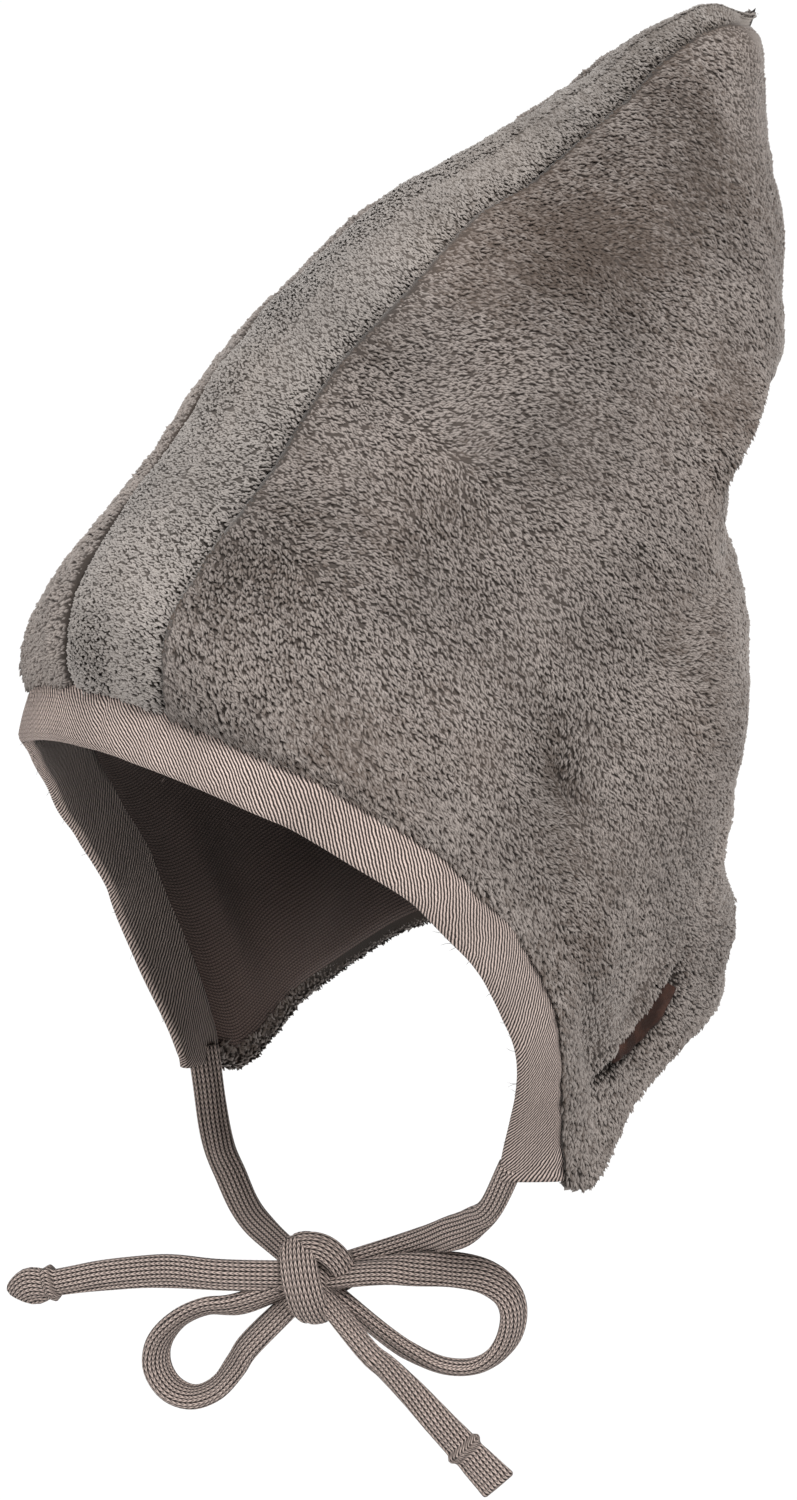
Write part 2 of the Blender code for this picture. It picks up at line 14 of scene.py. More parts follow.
import bpy
import numpy as np
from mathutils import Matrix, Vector


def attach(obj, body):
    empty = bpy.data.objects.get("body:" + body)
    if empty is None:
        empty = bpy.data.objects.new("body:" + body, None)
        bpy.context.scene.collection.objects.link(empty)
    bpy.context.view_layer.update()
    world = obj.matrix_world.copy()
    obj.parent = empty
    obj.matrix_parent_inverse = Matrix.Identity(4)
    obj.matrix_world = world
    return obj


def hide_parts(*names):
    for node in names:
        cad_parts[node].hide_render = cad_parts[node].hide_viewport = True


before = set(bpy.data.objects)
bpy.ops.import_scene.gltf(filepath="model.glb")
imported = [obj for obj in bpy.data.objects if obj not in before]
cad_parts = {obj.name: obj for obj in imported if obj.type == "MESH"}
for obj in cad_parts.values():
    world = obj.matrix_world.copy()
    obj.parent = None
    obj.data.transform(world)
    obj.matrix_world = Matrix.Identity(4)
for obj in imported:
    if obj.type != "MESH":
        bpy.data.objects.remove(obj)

LOG = logging.getLogger("bonnet")
BODY = "root"
Array = np.ndarray
Colour = tuple[float, float, float]

# The ridge from the forehead to the peak: shares of the peak's reach and rise
RIDGE = (
    # back, up
    (0.000, 0.000),
    (-0.012, 0.070),
    (-0.004, 0.160),
    (0.035, 0.250),
    (0.110, 0.360),
    (0.160, 0.430),
    (0.205, 0.510),
    (0.285, 0.610),
    (0.350, 0.670),
    (0.460, 0.765),
    (0.530, 0.800),
    (0.615, 0.840),
    (0.740, 0.910),
    (0.810, 0.965),
    (0.880, 1.000),
    (0.945, 1.007),
    (1.000, 0.985),
)

# The face edge from the forehead to the flap's foot: shares of the flap's reach and drop
FACE_EDGE = (
    # back, down
    (0.000, 0.000),
    (0.030, 0.010),
    (0.145, 0.065),
    (0.240, 0.107),
    (0.365, 0.177),
    (0.510, 0.262),
    (0.610, 0.348),
    (0.710, 0.430),
    (0.830, 0.565),
    (0.905, 0.700),
    (0.955, 0.850),
    (1.000, 1.000),
)

# The neck edge from the flap's foot to the nape: shares of the way back and the way up
NECK_EDGE = (
    # back, up
    (0.000, 0.000),
    (0.085, -0.045),
    (0.150, 0.035),
    (0.225, 0.210),
    (0.295, 0.385),
    (0.400, 0.530),
    (0.565, 0.720),
    (0.735, 0.855),
    (0.885, 0.955),
    (1.000, 1.000),
)

# The back from the peak to the nape: shares of the peak's reach, and of the way down
BACK = (
    # reach, down
    (1.000, 0.010),
    (1.003, 0.056),
    (1.005, 0.120),
    (1.000, 0.240),
    (0.985, 0.304),
    (0.960, 0.363),
    (0.895, 0.420),
    (0.830, 0.468),
    (0.807, 0.498),
    (0.818, 0.540),
    (0.822, 0.600),
    (0.812, 0.700),
    (0.800, 0.800),
    (0.800, 0.900),
    (0.818, 1.000),
)

# Arches from the face to the back: shares of the way back, the half width and the arch's height
ARCHES = (
    # way, ridge_width, ridge_drop, side_drop
    (0.000, 0.480, 0.150, 0.550),
    (0.120, 0.420, 0.170, 0.580),
    (0.250, 0.360, 0.180, 0.600),
    (0.500, 0.320, 0.150, 0.640),
    (0.750, 0.260, 0.100, 0.700),
    (1.000, 0.120, 0.050, 0.750),
)

# The gusset's half width on the way back: shares of the gusset's half width
GUSSET = (
    # way, half_width
    (0.00, 0.90),
    (0.15, 1.00),
    (0.45, 1.00),
    (0.65, 0.78),
    (0.80, 0.52),
    (1.00, 0.26),
)

# Dents and swells of a side: places and reaches as shares, depths as shares of the deepest dent
DENTS = (
    # way, down, way_reach, down_reach, slant, depth
    (0.68, 0.075, 0.045, 0.080, 0.6, 0.45),
    (0.82, 0.300, 0.090, 0.050, 0.0, -0.35),
    (0.90, 0.430, 0.130, 0.040, 0.3, 1.00),
    (0.27, 0.500, 0.040, 0.080, -0.4, 0.55),
    (0.45, 0.330, 0.120, 0.100, 0.0, -0.35),
    (0.16, 0.800, 0.050, 0.110, 0.2, 0.60),
    (0.55, 0.700, 0.090, 0.080, 0.2, -0.30),
    (0.42, 0.900, 0.120, 0.050, -0.6, 0.45),
    (0.08, 0.160, 0.070, 0.050, 0.3, 0.35),
    (0.05, 0.150, 0.070, 0.140, 0.0, -0.40),
    (0.86, 0.925, 0.170, 0.050, 0.0, -0.80),
)

# Raised and sunk lines by the edges of a side panel and of the gusset, in metres
SIDE_LINES = (
    # edge, in, reach, height
    ("seam", 0.0060, 0.0050, 0.0006),
    ("face", 0.0045, 0.0045, 0.0009),
    ("neck", 0.0000, 0.0030, -0.0004),
)
GUSSET_LINES = (
    # edge, in, reach, height
    ("seam", 0.0070, 0.0060, 0.0007),
    ("face", 0.0045, 0.0045, 0.0008),
)

# The fold round the label: its swells and hollows up from the label's line, in metres
FOLD = (
    # up, reach, height
    (-0.0036, 0.0032, 0.0020),
    (0.0014, 0.0027, -0.0021),
    (0.0075, 0.0040, 0.0007),
)

# Where the pile parts and lies away from a point: place and reach as shares, strength, and lift in degrees
WHORLS = (
    # way, down, reach, strength, lift
    (0.39, 0.18, 0.16, 0.8, 4.0),
    (0.20, 0.10, 0.12, 0.6, 8.0),
    (0.27, 0.50, 0.10, -0.7, 6.0),
    (0.68, 0.12, 0.12, 0.7, 6.0),
    (0.60, 0.60, 0.20, 0.5, 4.0),
    (0.82, 0.30, 0.14, -0.6, 6.0),
    (0.13, 0.62, 0.12, 0.5, 8.0),
)

# Where the pile shows darker and browner, or lighter, as it lies: shares of the way back and down, and tone
TONES = (
    # way, down, way_reach, down_reach, tone
    (0.77, 0.130, 0.100, 0.070, -0.60),
    (0.63, 0.080, 0.090, 0.080, -0.65),
    (0.86, 0.050, 0.060, 0.060, -0.40),
    (0.27, 0.500, 0.045, 0.060, -0.70),
    (0.06, 0.170, 0.060, 0.060, -0.35),
    (0.74, 0.430, 0.060, 0.050, -0.30),
    (0.39, 0.300, 0.120, 0.100, 0.25),
    (0.52, 0.520, 0.110, 0.090, 0.18),
    (0.12, 0.330, 0.070, 0.080, 0.20),
    (0.85, 0.200, 0.070, 0.080, 0.12),
)

# A wisp's corners: shares of its length along it, its width aside and its height outwards, and its shade
# The shade column paints shade at the buried root and a highlight on the crest
WISP = (
    # along, side, rise, shade
    (-0.10, 0.00, 0.0, 0.00),
    (0.52, -0.50, 0.1, 0.15),
    (0.52, 0.50, 0.1, 0.15),
    (1.00, 0.00, -0.2, 0.75),
    (0.62, 0.00, 1.0, 1.00),
)
WISP_TIP = 3
WISP_RING = (0, 1, 3, 2)
WISP_CREST = 4

# The label's line from its upper end to its lower one, as shares of the side's surface
LABEL = (
    # way, down
    (0.538, 0.917),
    (0.500, 0.927),
    (0.440, 0.932),
    (0.370, 0.930),
    (0.315, 0.921),
    (0.264, 0.909),
)

# Strings from foot to knot: metres right, back and up from the forehead, the flat side's roll and its width
TIE_LEFT = (
    # right, back, up, roll, width
    (0.0510, 0.0715, -0.1240, 30, 0.72),
    (0.0430, 0.0735, -0.1300, 15, 0.88),
    (0.0340, 0.0745, -0.1355, 5, 1.05),
    (0.0180, 0.0755, -0.1425, 20, 0.85),
)
TIE_RIGHT = (
    # right, back, up, roll, width
    (-0.0560, 0.0770, -0.1330, 25, 0.92),
    (-0.0450, 0.0725, -0.1400, 30, 0.92),
    (-0.0305, 0.0675, -0.1465, 30, 0.88),
)

# The bow, in metres across, forward and up from the knot, the flat side's roll and its share of the width
LOOP_RIGHT = (
    # across, forward, up, roll, width
    (-0.0170, 0.0025, -0.0072, 50, 0.95),
    (-0.0255, 0.0030, -0.0086, 60, 0.95),
    (-0.0325, 0.0030, -0.0125, 68, 0.95),
    (-0.0372, 0.0025, -0.0185, 62, 0.95),
    (-0.0380, 0.0020, -0.0250, 58, 0.95),
    (-0.0350, 0.0010, -0.0306, 62, 0.95),
    (-0.0295, 0.0000, -0.0326, 70, 0.95),
    (-0.0235, 0.0000, -0.0295, 62, 0.95),
    (-0.0190, 0.0000, -0.0235, 52, 0.95),
    (-0.0148, 0.0008, -0.0172, 48, 0.90),
)
LOOP_LEFT = (
    # across, forward, up, roll, width
    (0.0180, 0.0012, 0.0040, 50, 0.90),
    (0.0265, 0.0008, 0.0050, 20, 1.00),
    (0.0350, 0.0000, 0.0055, 5, 1.04),
    (0.0425, 0.0000, 0.0045, 25, 1.00),
    (0.0475, -0.0005, 0.0010, 50, 0.95),
    (0.0492, -0.0010, -0.0040, 60, 0.92),
    (0.0478, -0.0018, -0.0105, 66, 0.92),
    (0.0440, -0.0024, -0.0158, 72, 0.92),
    (0.0385, -0.0030, -0.0190, 74, 0.92),
    (0.0315, -0.0030, -0.0195, 66, 0.92),
    (0.0240, -0.0030, -0.0172, 52, 0.92),
    (0.0175, -0.0028, -0.0135, 48, 0.92),
)
END_RIGHT = (
    # across, forward, up, roll, width
    (-0.0200, 0.0055, 0.0005, 5, 0.95),
    (-0.0350, 0.0040, -0.0005, 0, 1.00),
    (-0.0500, 0.0025, -0.0034, 5, 0.92),
    (-0.0640, 0.0010, -0.0072, 10, 0.78),
)
END_LEFT = (
    # across, forward, up, roll, width
    (0.0150, 0.0062, -0.0140, 75, 0.75),
    (0.0200, 0.0050, -0.0187, 60, 0.75),
    (0.0260, 0.0036, -0.0250, 35, 0.80),
    (0.0318, 0.0028, -0.0313, 10, 0.90),
    (0.0376, 0.0020, -0.0374, 0, 1.00),
)

# The knot's second turn, which shows behind the wrap
SECOND_TURN = (
    # across, forward, up, roll, width
    (-0.0062, 0.0005, 0.0040, 35, 0.80),
    (-0.0035, 0.0018, 0.0074, 35, 0.80),
    (0.0002, 0.0026, 0.0088, 35, 0.82),
    (0.0036, 0.0030, 0.0086, 35, 0.82),
    (0.0064, 0.0028, 0.0068, 35, 0.80),
    (0.0080, 0.0015, 0.0038, 35, 0.75),
    (0.0078, -0.0015, 0.0006, 35, 0.70),
    (0.0050, -0.0042, -0.0020, 35, 0.70),
)

# Where each string meets the knot: across, forward and up, as a direction
KNOT_SIDES = {
    "tie_left": (0.80, -0.45, 0.50),
    "tie_right": (-0.70, -0.60, 0.50),
    "loop_left_upper": (0.92, 0.20, 0.22),
    "loop_left_lower": (0.80, -0.35, -0.60),
    "loop_right_upper": (-0.90, 0.10, -0.30),
    "loop_right_lower": (-0.55, 0.20, -1.00),
    "end_left": (0.60, 0.50, -0.75),
    "end_right": (-0.80, 0.60, 0.30),
}

# The bound tips: shares of the tip's length, half width and half thickness
LEAF_TIP = (
    # along, width, thickness
    (-0.12, 0.60, 0.60),
    (-0.05, 0.78, 0.95),
    (0.02, 0.86, 1.20),
    (0.10, 0.86, 1.15),
    (0.17, 0.80, 0.90),
    (0.26, 0.90, 0.88),
    (0.40, 0.98, 0.92),
    (0.56, 0.94, 0.86),
    (0.72, 0.76, 0.72),
    (0.86, 0.52, 0.52),
    (0.95, 0.30, 0.36),
    (1.00, 0.06, 0.10),
)
CUFF_TIP = (
    # along, width, thickness
    (-0.12, 0.74, 0.62),
    (-0.05, 0.84, 0.95),
    (0.02, 0.92, 1.25),
    (0.10, 0.92, 1.20),
    (0.16, 0.84, 0.84),
    (0.22, 0.84, 0.70),
    (0.40, 0.90, 0.72),
    (0.60, 0.94, 0.70),
    (0.80, 0.98, 0.66),
    (0.93, 1.02, 0.66),
    (0.98, 1.00, 0.56),
    (1.00, 0.92, 0.30),
)


class Side(Enum):
    """A side of the wearer, with its sign along X."""

    LEFT = 1
    RIGHT = -1

    @property
    def word(self) -> str:
        """The side's name in the names of pieces."""
        return self.name.lower()


class Weave(Enum):
    """How the stitches of a knit stand: in pairs that lean together, or in slanting lines."""

    JERSEY = "jersey"
    TWILL = "twill"


def smooth_line(rows: Array, count: int) -> Array:
    """Evenly spaced points on a smooth curve through some rows.

    Args:
        rows: The points that the curve passes, one a row.
        count: How many points to return.

    Returns:
        The curve's points, at even steps of its length over the first three columns.
    """
    rows = np.asarray(rows, float)
    ends = np.vstack([2 * rows[0] - rows[1], rows, 2 * rows[-1] - rows[-2]])
    share = np.linspace(0, 1, 24, endpoint=False)[:, None]
    dense = []
    for a, b, c, d in zip(ends, ends[1:], ends[2:], ends[3:]):
        square = 2 * a - 5 * b + 4 * c - d
        cube = 3 * b - a - 3 * c + d
        dense.append(0.5 * (2 * b + (c - a) * share + square * share**2 + cube * share**3))
    return evenly(np.vstack([*dense, rows[-1:]]), np.linspace(0, 1, count))


def evenly(points: Array, shares: Array) -> Array:
    """Points at some shares of a line's length.

    Args:
        points: The line's points; columns after the third don't count in its length.
        shares: The shares, from 0 to 1.

    Returns:
        The points there.
    """
    steps = np.linalg.norm(np.diff(points[:, :3], axis=0), axis=1)
    length = np.concatenate([[0], np.cumsum(steps)])
    at = np.asarray(shares) * length[-1]
    return np.stack([np.interp(at, length, column) for column in points.T], axis=-1)


def ease(value: Array) -> Array:
    """A smooth step from 0 to 1."""
    value = np.clip(value, 0, 1)
    return value * value * (3 - 2 * value)


def bump(distance: Array, reach: float) -> Array:
    """A bell that is 1 at no distance and dies out past its reach."""
    return np.exp(-((distance / reach) ** 2))


def column(table: tuple, place: Array, at: int) -> Array:
    """A table's column, read at shares of its first one."""
    rows = np.asarray(table)
    return np.interp(place, rows[:, 0], rows[:, at])


def edge_lines(table: tuple, lengths: dict[str, Array]) -> Array:
    """The relief of a table's lines, from the lengths off each edge."""
    return sum(height * bump(lengths[edge] - place, reach) for edge, place, reach, height in table)


def unit(vectors: Array) -> Array:
    """The same vectors, one long."""
    return vectors / np.maximum(np.linalg.norm(vectors, axis=-1, keepdims=True), 1e-12)


def run_length(points: Array, axis: int) -> Array:
    """How far each point of a grid lies along one axis of the grid."""
    steps = np.linalg.norm(np.diff(points, axis=axis), axis=-1)
    start = np.zeros_like(np.take(steps, [0], axis=axis))
    return np.concatenate([start, np.cumsum(steps, axis=axis)], axis=axis)


def ripples(points: Array, scale: float, seed: int) -> Array:
    """A soft random field over space, made of crossing waves.

    Args:
        points: Where to read it, in metres.
        scale: The usual length of a wave, in metres.
        seed: Which field.

    Returns:
        Values mostly from -1 to 1.
    """
    draw = np.random.default_rng(seed)
    waves = 9
    total = np.zeros(points.shape[:-1])
    for _ in range(waves):
        course = unit(draw.normal(size=3)) * draw.uniform(0.7, 1.5) * 2 * math.pi / scale
        total += np.sin(points @ course + draw.uniform(0, 2 * math.pi))
    return total / math.sqrt(waves)


@dataclass
class HoodLayer:
    """The hood's surface at one depth below the plush, in the forehead's frame."""

    depth: float = 0.0
    width: float = 0.149
    peak: tuple[float, float] = (0.198, 0.136)
    flap: tuple[float, float] = (0.083, -0.117)
    nape: tuple[float, float] = (0.162, -0.084)
    thin_within: float = 0.014
    round_start: float = 0.42
    round_power: float = 2.6
    flap_tuck: float = 0.12
    neck_tuck: float = 0.10
    tuck_start: float = 0.65
    neck_tuck_within: float = 0.6
    dent: float = 0.005
    back_fade: float = 0.08
    ridge_fade: float = 0.04
    face_fade_start: float = -0.02
    face_fade: float = 0.06
    corner_power: int = 12
    corner_step: int = 7
    density: int = 240
    lines: dict[str, Array] = field(default_factory=dict)

    def __post_init__(self) -> None:
        """Works out the four edge lines of the side view."""
        peak, flap, nape = np.array(self.peak), np.array(self.flap), np.array(self.nape)
        ridge = smooth_line(np.array(RIDGE) * peak, self.density)
        face = smooth_line(np.array(FACE_EDGE) * (flap[0], flap[1]), self.density)
        neck = smooth_line(flap + np.array(NECK_EDGE) * (nape - flap), self.density)
        back = np.array(BACK) * (peak[0], nape[1] - peak[1]) + (0, peak[1])
        back[0], back[-1] = ridge[-1], nape
        back = smooth_line(back, self.density)
        if self.depth:
            ridge_in, back_in = self.inset(ridge), self.inset(back)
            corner = self.corner(ridge, back)
            share = np.linspace(0, 1, self.density)[:, None]
            ridge_in += share**self.corner_power * (corner - ridge_in[-1])
            back_in += (1 - share) ** self.corner_power * (corner - back_in[0])
            face = face + (1 - share) * (ridge_in[0] - ridge[0])
            neck = neck + share * (back_in[-1] - back[-1])
            ridge, back = ridge_in, back_in
        self.lines = {"ridge": ridge, "face": face, "neck": neck, "back": back}

    def inset(self, line: Array) -> Array:
        """A side-view line moved towards the hollow, which lies on its right."""
        along = unit(np.gradient(line, axis=0))
        return line + self.depth * np.stack([along[:, 1], -along[:, 0]], axis=1)

    def corner(self, ridge: Array, back: Array) -> Array:
        """The peak's corner, moved in from both its edges."""
        step = self.corner_step
        first, second = unit(ridge[-1] - ridge[-1 - step]), unit(back[step] - back[0])
        half = math.acos(np.clip(-first @ second, -1, 1)) / 2
        return ridge[-1] + self.depth / math.sin(half) * unit(second - first)

    def along(self, name: str, share: Array) -> Array:
        """Points of an edge line at shares of its run."""
        at = np.asarray(share) * (self.density - 1)
        spots = np.arange(self.density)
        line = self.lines[name]
        return np.stack([np.interp(at, spots, line[:, i]) for i in (0, 1)], axis=-1)

    def bare_points(self, way: Array, down: Array) -> Array:
        """Points of the smooth surface on the wearer's left.

        Args:
            way: Shares of the way back.
            down: Shares of the way down.

        Returns:
            The points.
        """
        way, down = np.broadcast_arrays(np.asarray(way, float), np.asarray(down, float))
        s, t = way[..., None], down[..., None]
        edges = self.lines
        side = (
            (1 - t) * self.along("ridge", way)
            + t * self.along("neck", way)
            + (1 - s) * self.along("face", down)
            + s * self.along("back", down)
            - (1 - s) * (1 - t) * edges["ridge"][0]
            - s * (1 - t) * edges["ridge"][-1]
            - (1 - s) * t * edges["neck"][0]
            - s * t * edges["neck"][-1]
        )
        return np.concatenate([self.half_width(way, down)[..., None], side], axis=-1)

    def half_width(self, way: Array, down: Array) -> Array:
        """How far the side stands from the middle plane."""
        ridge_width = column(ARCHES, way, 1)
        dome = np.sqrt(1 - (1 - np.clip(down / column(ARCHES, way, 2), 0, 1)) ** 2)
        flare = np.sin(math.pi / 2 * np.clip(down / column(ARCHES, way, 3), 0, 1))
        tuck = self.flap_tuck + self.neck_tuck * ease(way / self.neck_tuck_within)
        tuck = 1 - tuck * ease((down - self.tuck_start) / (1 - self.tuck_start))
        rounding = np.clip((way - self.round_start) / (1 - self.round_start), 0, 1)
        rounding = (1 - rounding**self.round_power) ** (1 / self.round_power)
        outer = self.width / 2 * tuck * rounding * (ridge_width * dome + (1 - ridge_width) * flare)
        return outer - self.depth * ease(outer / self.thin_within)

    def points(self, way: Array, down: Array) -> Array:
        """Points of the surface with its dents and swells."""
        return self.bare_points(way, down) + self.relief(way, down)[..., None] * outward(way, down)

    def relief(self, way: Array, down: Array) -> Array:
        """How far dents and swells move the side, outwards positive."""
        way, down = np.broadcast_arrays(np.asarray(way, float), np.asarray(down, float))
        height = np.zeros(way.shape)
        for at_way, at_down, way_reach, down_reach, slant, depth in DENTS:
            across = (way - at_way - slant * (down - at_down)) / way_reach
            height -= depth * self.dent * np.exp(-(across**2) - ((down - at_down) / down_reach) ** 2)
        height = height * ease((1 - way) / self.back_fade) * ease(down / self.ridge_fade)
        return height * ease((way - self.face_fade_start) / self.face_fade)


PLUSH = HoodLayer()


def outward(way: Array, down: Array) -> Array:
    """The plush side's unit normals on the wearer's left."""
    way, down = np.broadcast_arrays(np.asarray(way, float), np.asarray(down, float))
    step = 0.004
    back = PLUSH.bare_points(np.clip(way + step, 0, 1), down)
    back -= PLUSH.bare_points(np.clip(way - step, 0, 1), down)
    fall = PLUSH.bare_points(way, np.clip(down + step, 0, 1))
    fall -= PLUSH.bare_points(way, np.clip(down - step, 0, 1))
    return unit(np.cross(fall, back))


@dataclass(frozen=True)
class Cut:
    """How the hood's cloth is cut: its panels, layers and seams."""

    plush: float = 0.003
    lining: float = 0.001
    layer_gap: float = 0.0005
    seam_gap: float = 0.0008
    gusset_width: float = 0.036
    gusset_end: float = 0.995
    crown_way: float = 0.38
    middle_down: float = 0.45
    dense: int = 600
    dense_power: float = 1.5

    @property
    def wall(self) -> float:
        """The whole wall, from the plush's face to the lining's."""
        return self.plush + self.layer_gap + self.lining

    @cached_property
    def crown(self) -> Array:
        """The crown on the lining, which is the frame's origin."""
        return HoodLayer(depth=self.wall).points(self.crown_way, 0.0)

    def placed(self, points: Array) -> Array:
        """Points of the forehead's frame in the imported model's own frame."""
        return np.asarray(points, float) - self.crown

    def gusset_half(self, way: float) -> float:
        """The gusset's half width, measured along the arch."""
        return self.gusset_width / 2 * float(column(GUSSET, way, 1))

    def even_ways(self, count: int) -> Array:
        """Shares of the way back, at even steps along the middle of the side."""
        dense = np.linspace(0, 1, self.dense)
        length = run_length(PLUSH.bare_points(dense, self.middle_down), 0)
        return np.interp(np.linspace(0, length[-1], count), length, dense)

    def arch_shares(self, way: float, first: float, last: float | None, count: int) -> Array:
        """Shares of the way down at even steps between two lengths from the ridge, or to the neck."""
        dense = np.linspace(0, 1, self.dense) ** self.dense_power
        length = run_length(PLUSH.bare_points(way, dense), 0)
        last = length[-1] if last is None else last
        return np.interp(np.linspace(first, last, count), length, dense)


CUT = Cut()


class Graph:
    """A material's node tree, with short ways to add nodes."""

    def __init__(self, name: str) -> None:
        """Starts a material with one Principled shader."""
        self.material = bpy.data.materials.new(name)
        self.material.use_nodes = True
        self.tree = self.material.node_tree
        self.shader = self.tree.nodes["Principled BSDF"]

    def add(self, kind: str, *inputs: object, **settings: object) -> bpy.types.Node:
        """Adds a node.

        Args:
            kind: The node's type, without its ShaderNode prefix.
            inputs: Values or sockets for its first inputs, in order; None leaves one as it is.
            settings: The node's own properties.

        Returns:
            The node.
        """
        node = self.tree.nodes.new(f"ShaderNode{kind}")
        for name, value in settings.items():
            setattr(node, name, value)
        for socket, value in zip(node.inputs, inputs):
            self.feed(socket, value)
        return node

    def feed(self, socket: bpy.types.NodeSocket, value: object) -> None:
        """Links a socket to another, or sets its value."""
        if isinstance(value, bpy.types.NodeSocket):
            self.tree.links.new(value, socket)
        elif value is not None:
            socket.default_value = value

    def math(self, operation: str, *inputs: object) -> bpy.types.NodeSocket:
        """The result of a Math node."""
        return self.add("Math", *inputs, operation=operation).outputs[0]

    def mix(self, share: object, first: object, second: object) -> bpy.types.NodeSocket:
        """A mix of two colours."""
        node = self.add("Mix", data_type="RGBA")
        self.feed(node.inputs["Factor"], share)
        self.feed(node.inputs["A"], self.full(first))
        self.feed(node.inputs["B"], self.full(second))
        return node.outputs["Result"]

    def scaled(self, colour: object, share: object) -> bpy.types.NodeSocket:
        """A colour made darker or lighter by a share."""
        node = self.add("VectorMath", self.full(colour, 3), operation="SCALE")
        self.feed(node.inputs["Scale"], share)
        return node.outputs[0]

    @staticmethod
    def full(colour: object, size: int = 4) -> object:
        """A colour with as many channels as its socket takes; a socket stays as it is."""
        return (*colour, 1.0)[:size] if isinstance(colour, tuple) else colour

    def reach(self, value: object, low: float, high: float, to_low: float, to_high: float) -> object:
        """A value moved from one range to another, and kept in it."""
        return self.add("MapRange", value, low, high, to_low, to_high).outputs[0]

    def partly(self, value: object, share: float) -> bpy.types.NodeSocket:
        """A value from 0 to 1 that takes no more than a share away from 1."""
        return self.math("ADD", self.math("MULTIPLY", value, share), 1 - share)

    def noise(self, scale: float, detail: float) -> bpy.types.NodeSocket:
        """A noise field from about 0 to 1, with waves of 1 / scale metres."""
        node = self.add("TexNoise", self.add("TexCoord").outputs["Object"])
        node.inputs["Scale"].default_value = scale
        node.inputs["Detail"].default_value = detail
        return node.outputs[0]

    def attribute(self, name: str) -> bpy.types.NodeSocket:
        """A mesh's own number."""
        return self.add("Attribute", attribute_name=name).outputs["Fac"]

    def finish(self, sockets: dict[str, object], height: object = None, depth: float = 0.0) -> None:
        """Feeds the shader.

        Args:
            sockets: Values or sockets for the shader's inputs, by name.
            height: A socket with the height of the surface's fine relief, from 0 to 1.
            depth: How deep that relief is, in metres.
        """
        for name, value in sockets.items():
            self.feed(self.shader.inputs[name], self.full(value))
        if height is not None:
            relief = self.add("Bump")
            self.feed(relief.inputs["Height"], height)
            relief.inputs["Distance"].default_value = depth
            self.tree.links.new(relief.outputs[0], self.shader.inputs["Normal"])


@dataclass(frozen=True)
class PileFinish:
    """Short plush pile: dark toward its roots, which is painted shade between its wisps, and lighter and
    cooler at their tips, which is a painted highlight.
    """

    root: Colour = (0.026, 0.021, 0.018)
    body: Colour = (0.118, 0.098, 0.087)
    tip: Colour = (0.400, 0.352, 0.322)
    brown: Colour = (0.120, 0.082, 0.060)
    body_at: float = 0.45
    tip_share: float = 0.85
    brown_share: float = 0.8
    patch_share: float = 0.25
    tone_light: tuple[float, float] = (0.60, 1.40)
    patch_scale: float = 22.0
    cloud_scale: float = 25.0
    strand_scale: float = 4500.0
    strand_depth: float = 0.00012
    roughness: float = 0.62
    specular: float = 0.22
    sheen: float = 0.35
    sheen_roughness: float = 0.45
    sheen_tint: Colour = (0.95, 0.90, 0.86)

    def build(self, name: str) -> bpy.types.Material:
        """Makes the material of the wisps and of the cloth under them."""
        graph = Graph(name)
        rise, tone = graph.attribute("rise"), graph.attribute("tone")
        # From root to tip by the wisp's rise: painted shade low down between the wisps, a painted highlight
        # at the tips and crests
        colour = graph.mix(graph.reach(rise, 0.0, self.body_at, 0, 1), self.root, self.body)
        colour = graph.mix(graph.reach(rise, self.body_at, 1.0, 0, self.tip_share), colour, self.tip)
        colour = graph.mix(graph.reach(tone, 0.0, -1.0, 0, self.brown_share), colour, self.brown)
        patches = graph.noise(self.patch_scale, 2.0)
        colour = graph.mix(graph.reach(patches, 0.52, 0.75, 0, self.patch_share), colour, self.brown)
        clouds = graph.noise(self.cloud_scale, 3.0)
        light = graph.math("ADD", graph.reach(tone, -1, 1, *self.tone_light), clouds)
        sockets = {
            "Base Color": graph.scaled(colour, graph.math("SUBTRACT", light, 0.5)),
            "Roughness": self.roughness,
            "Sheen Weight": self.sheen,
            "Sheen Roughness": self.sheen_roughness,
            "Sheen Tint": self.sheen_tint,
            "Specular IOR Level": self.specular,
        }
        graph.finish(sockets, graph.noise(self.strand_scale, 1.0), self.strand_depth)
        return graph.material


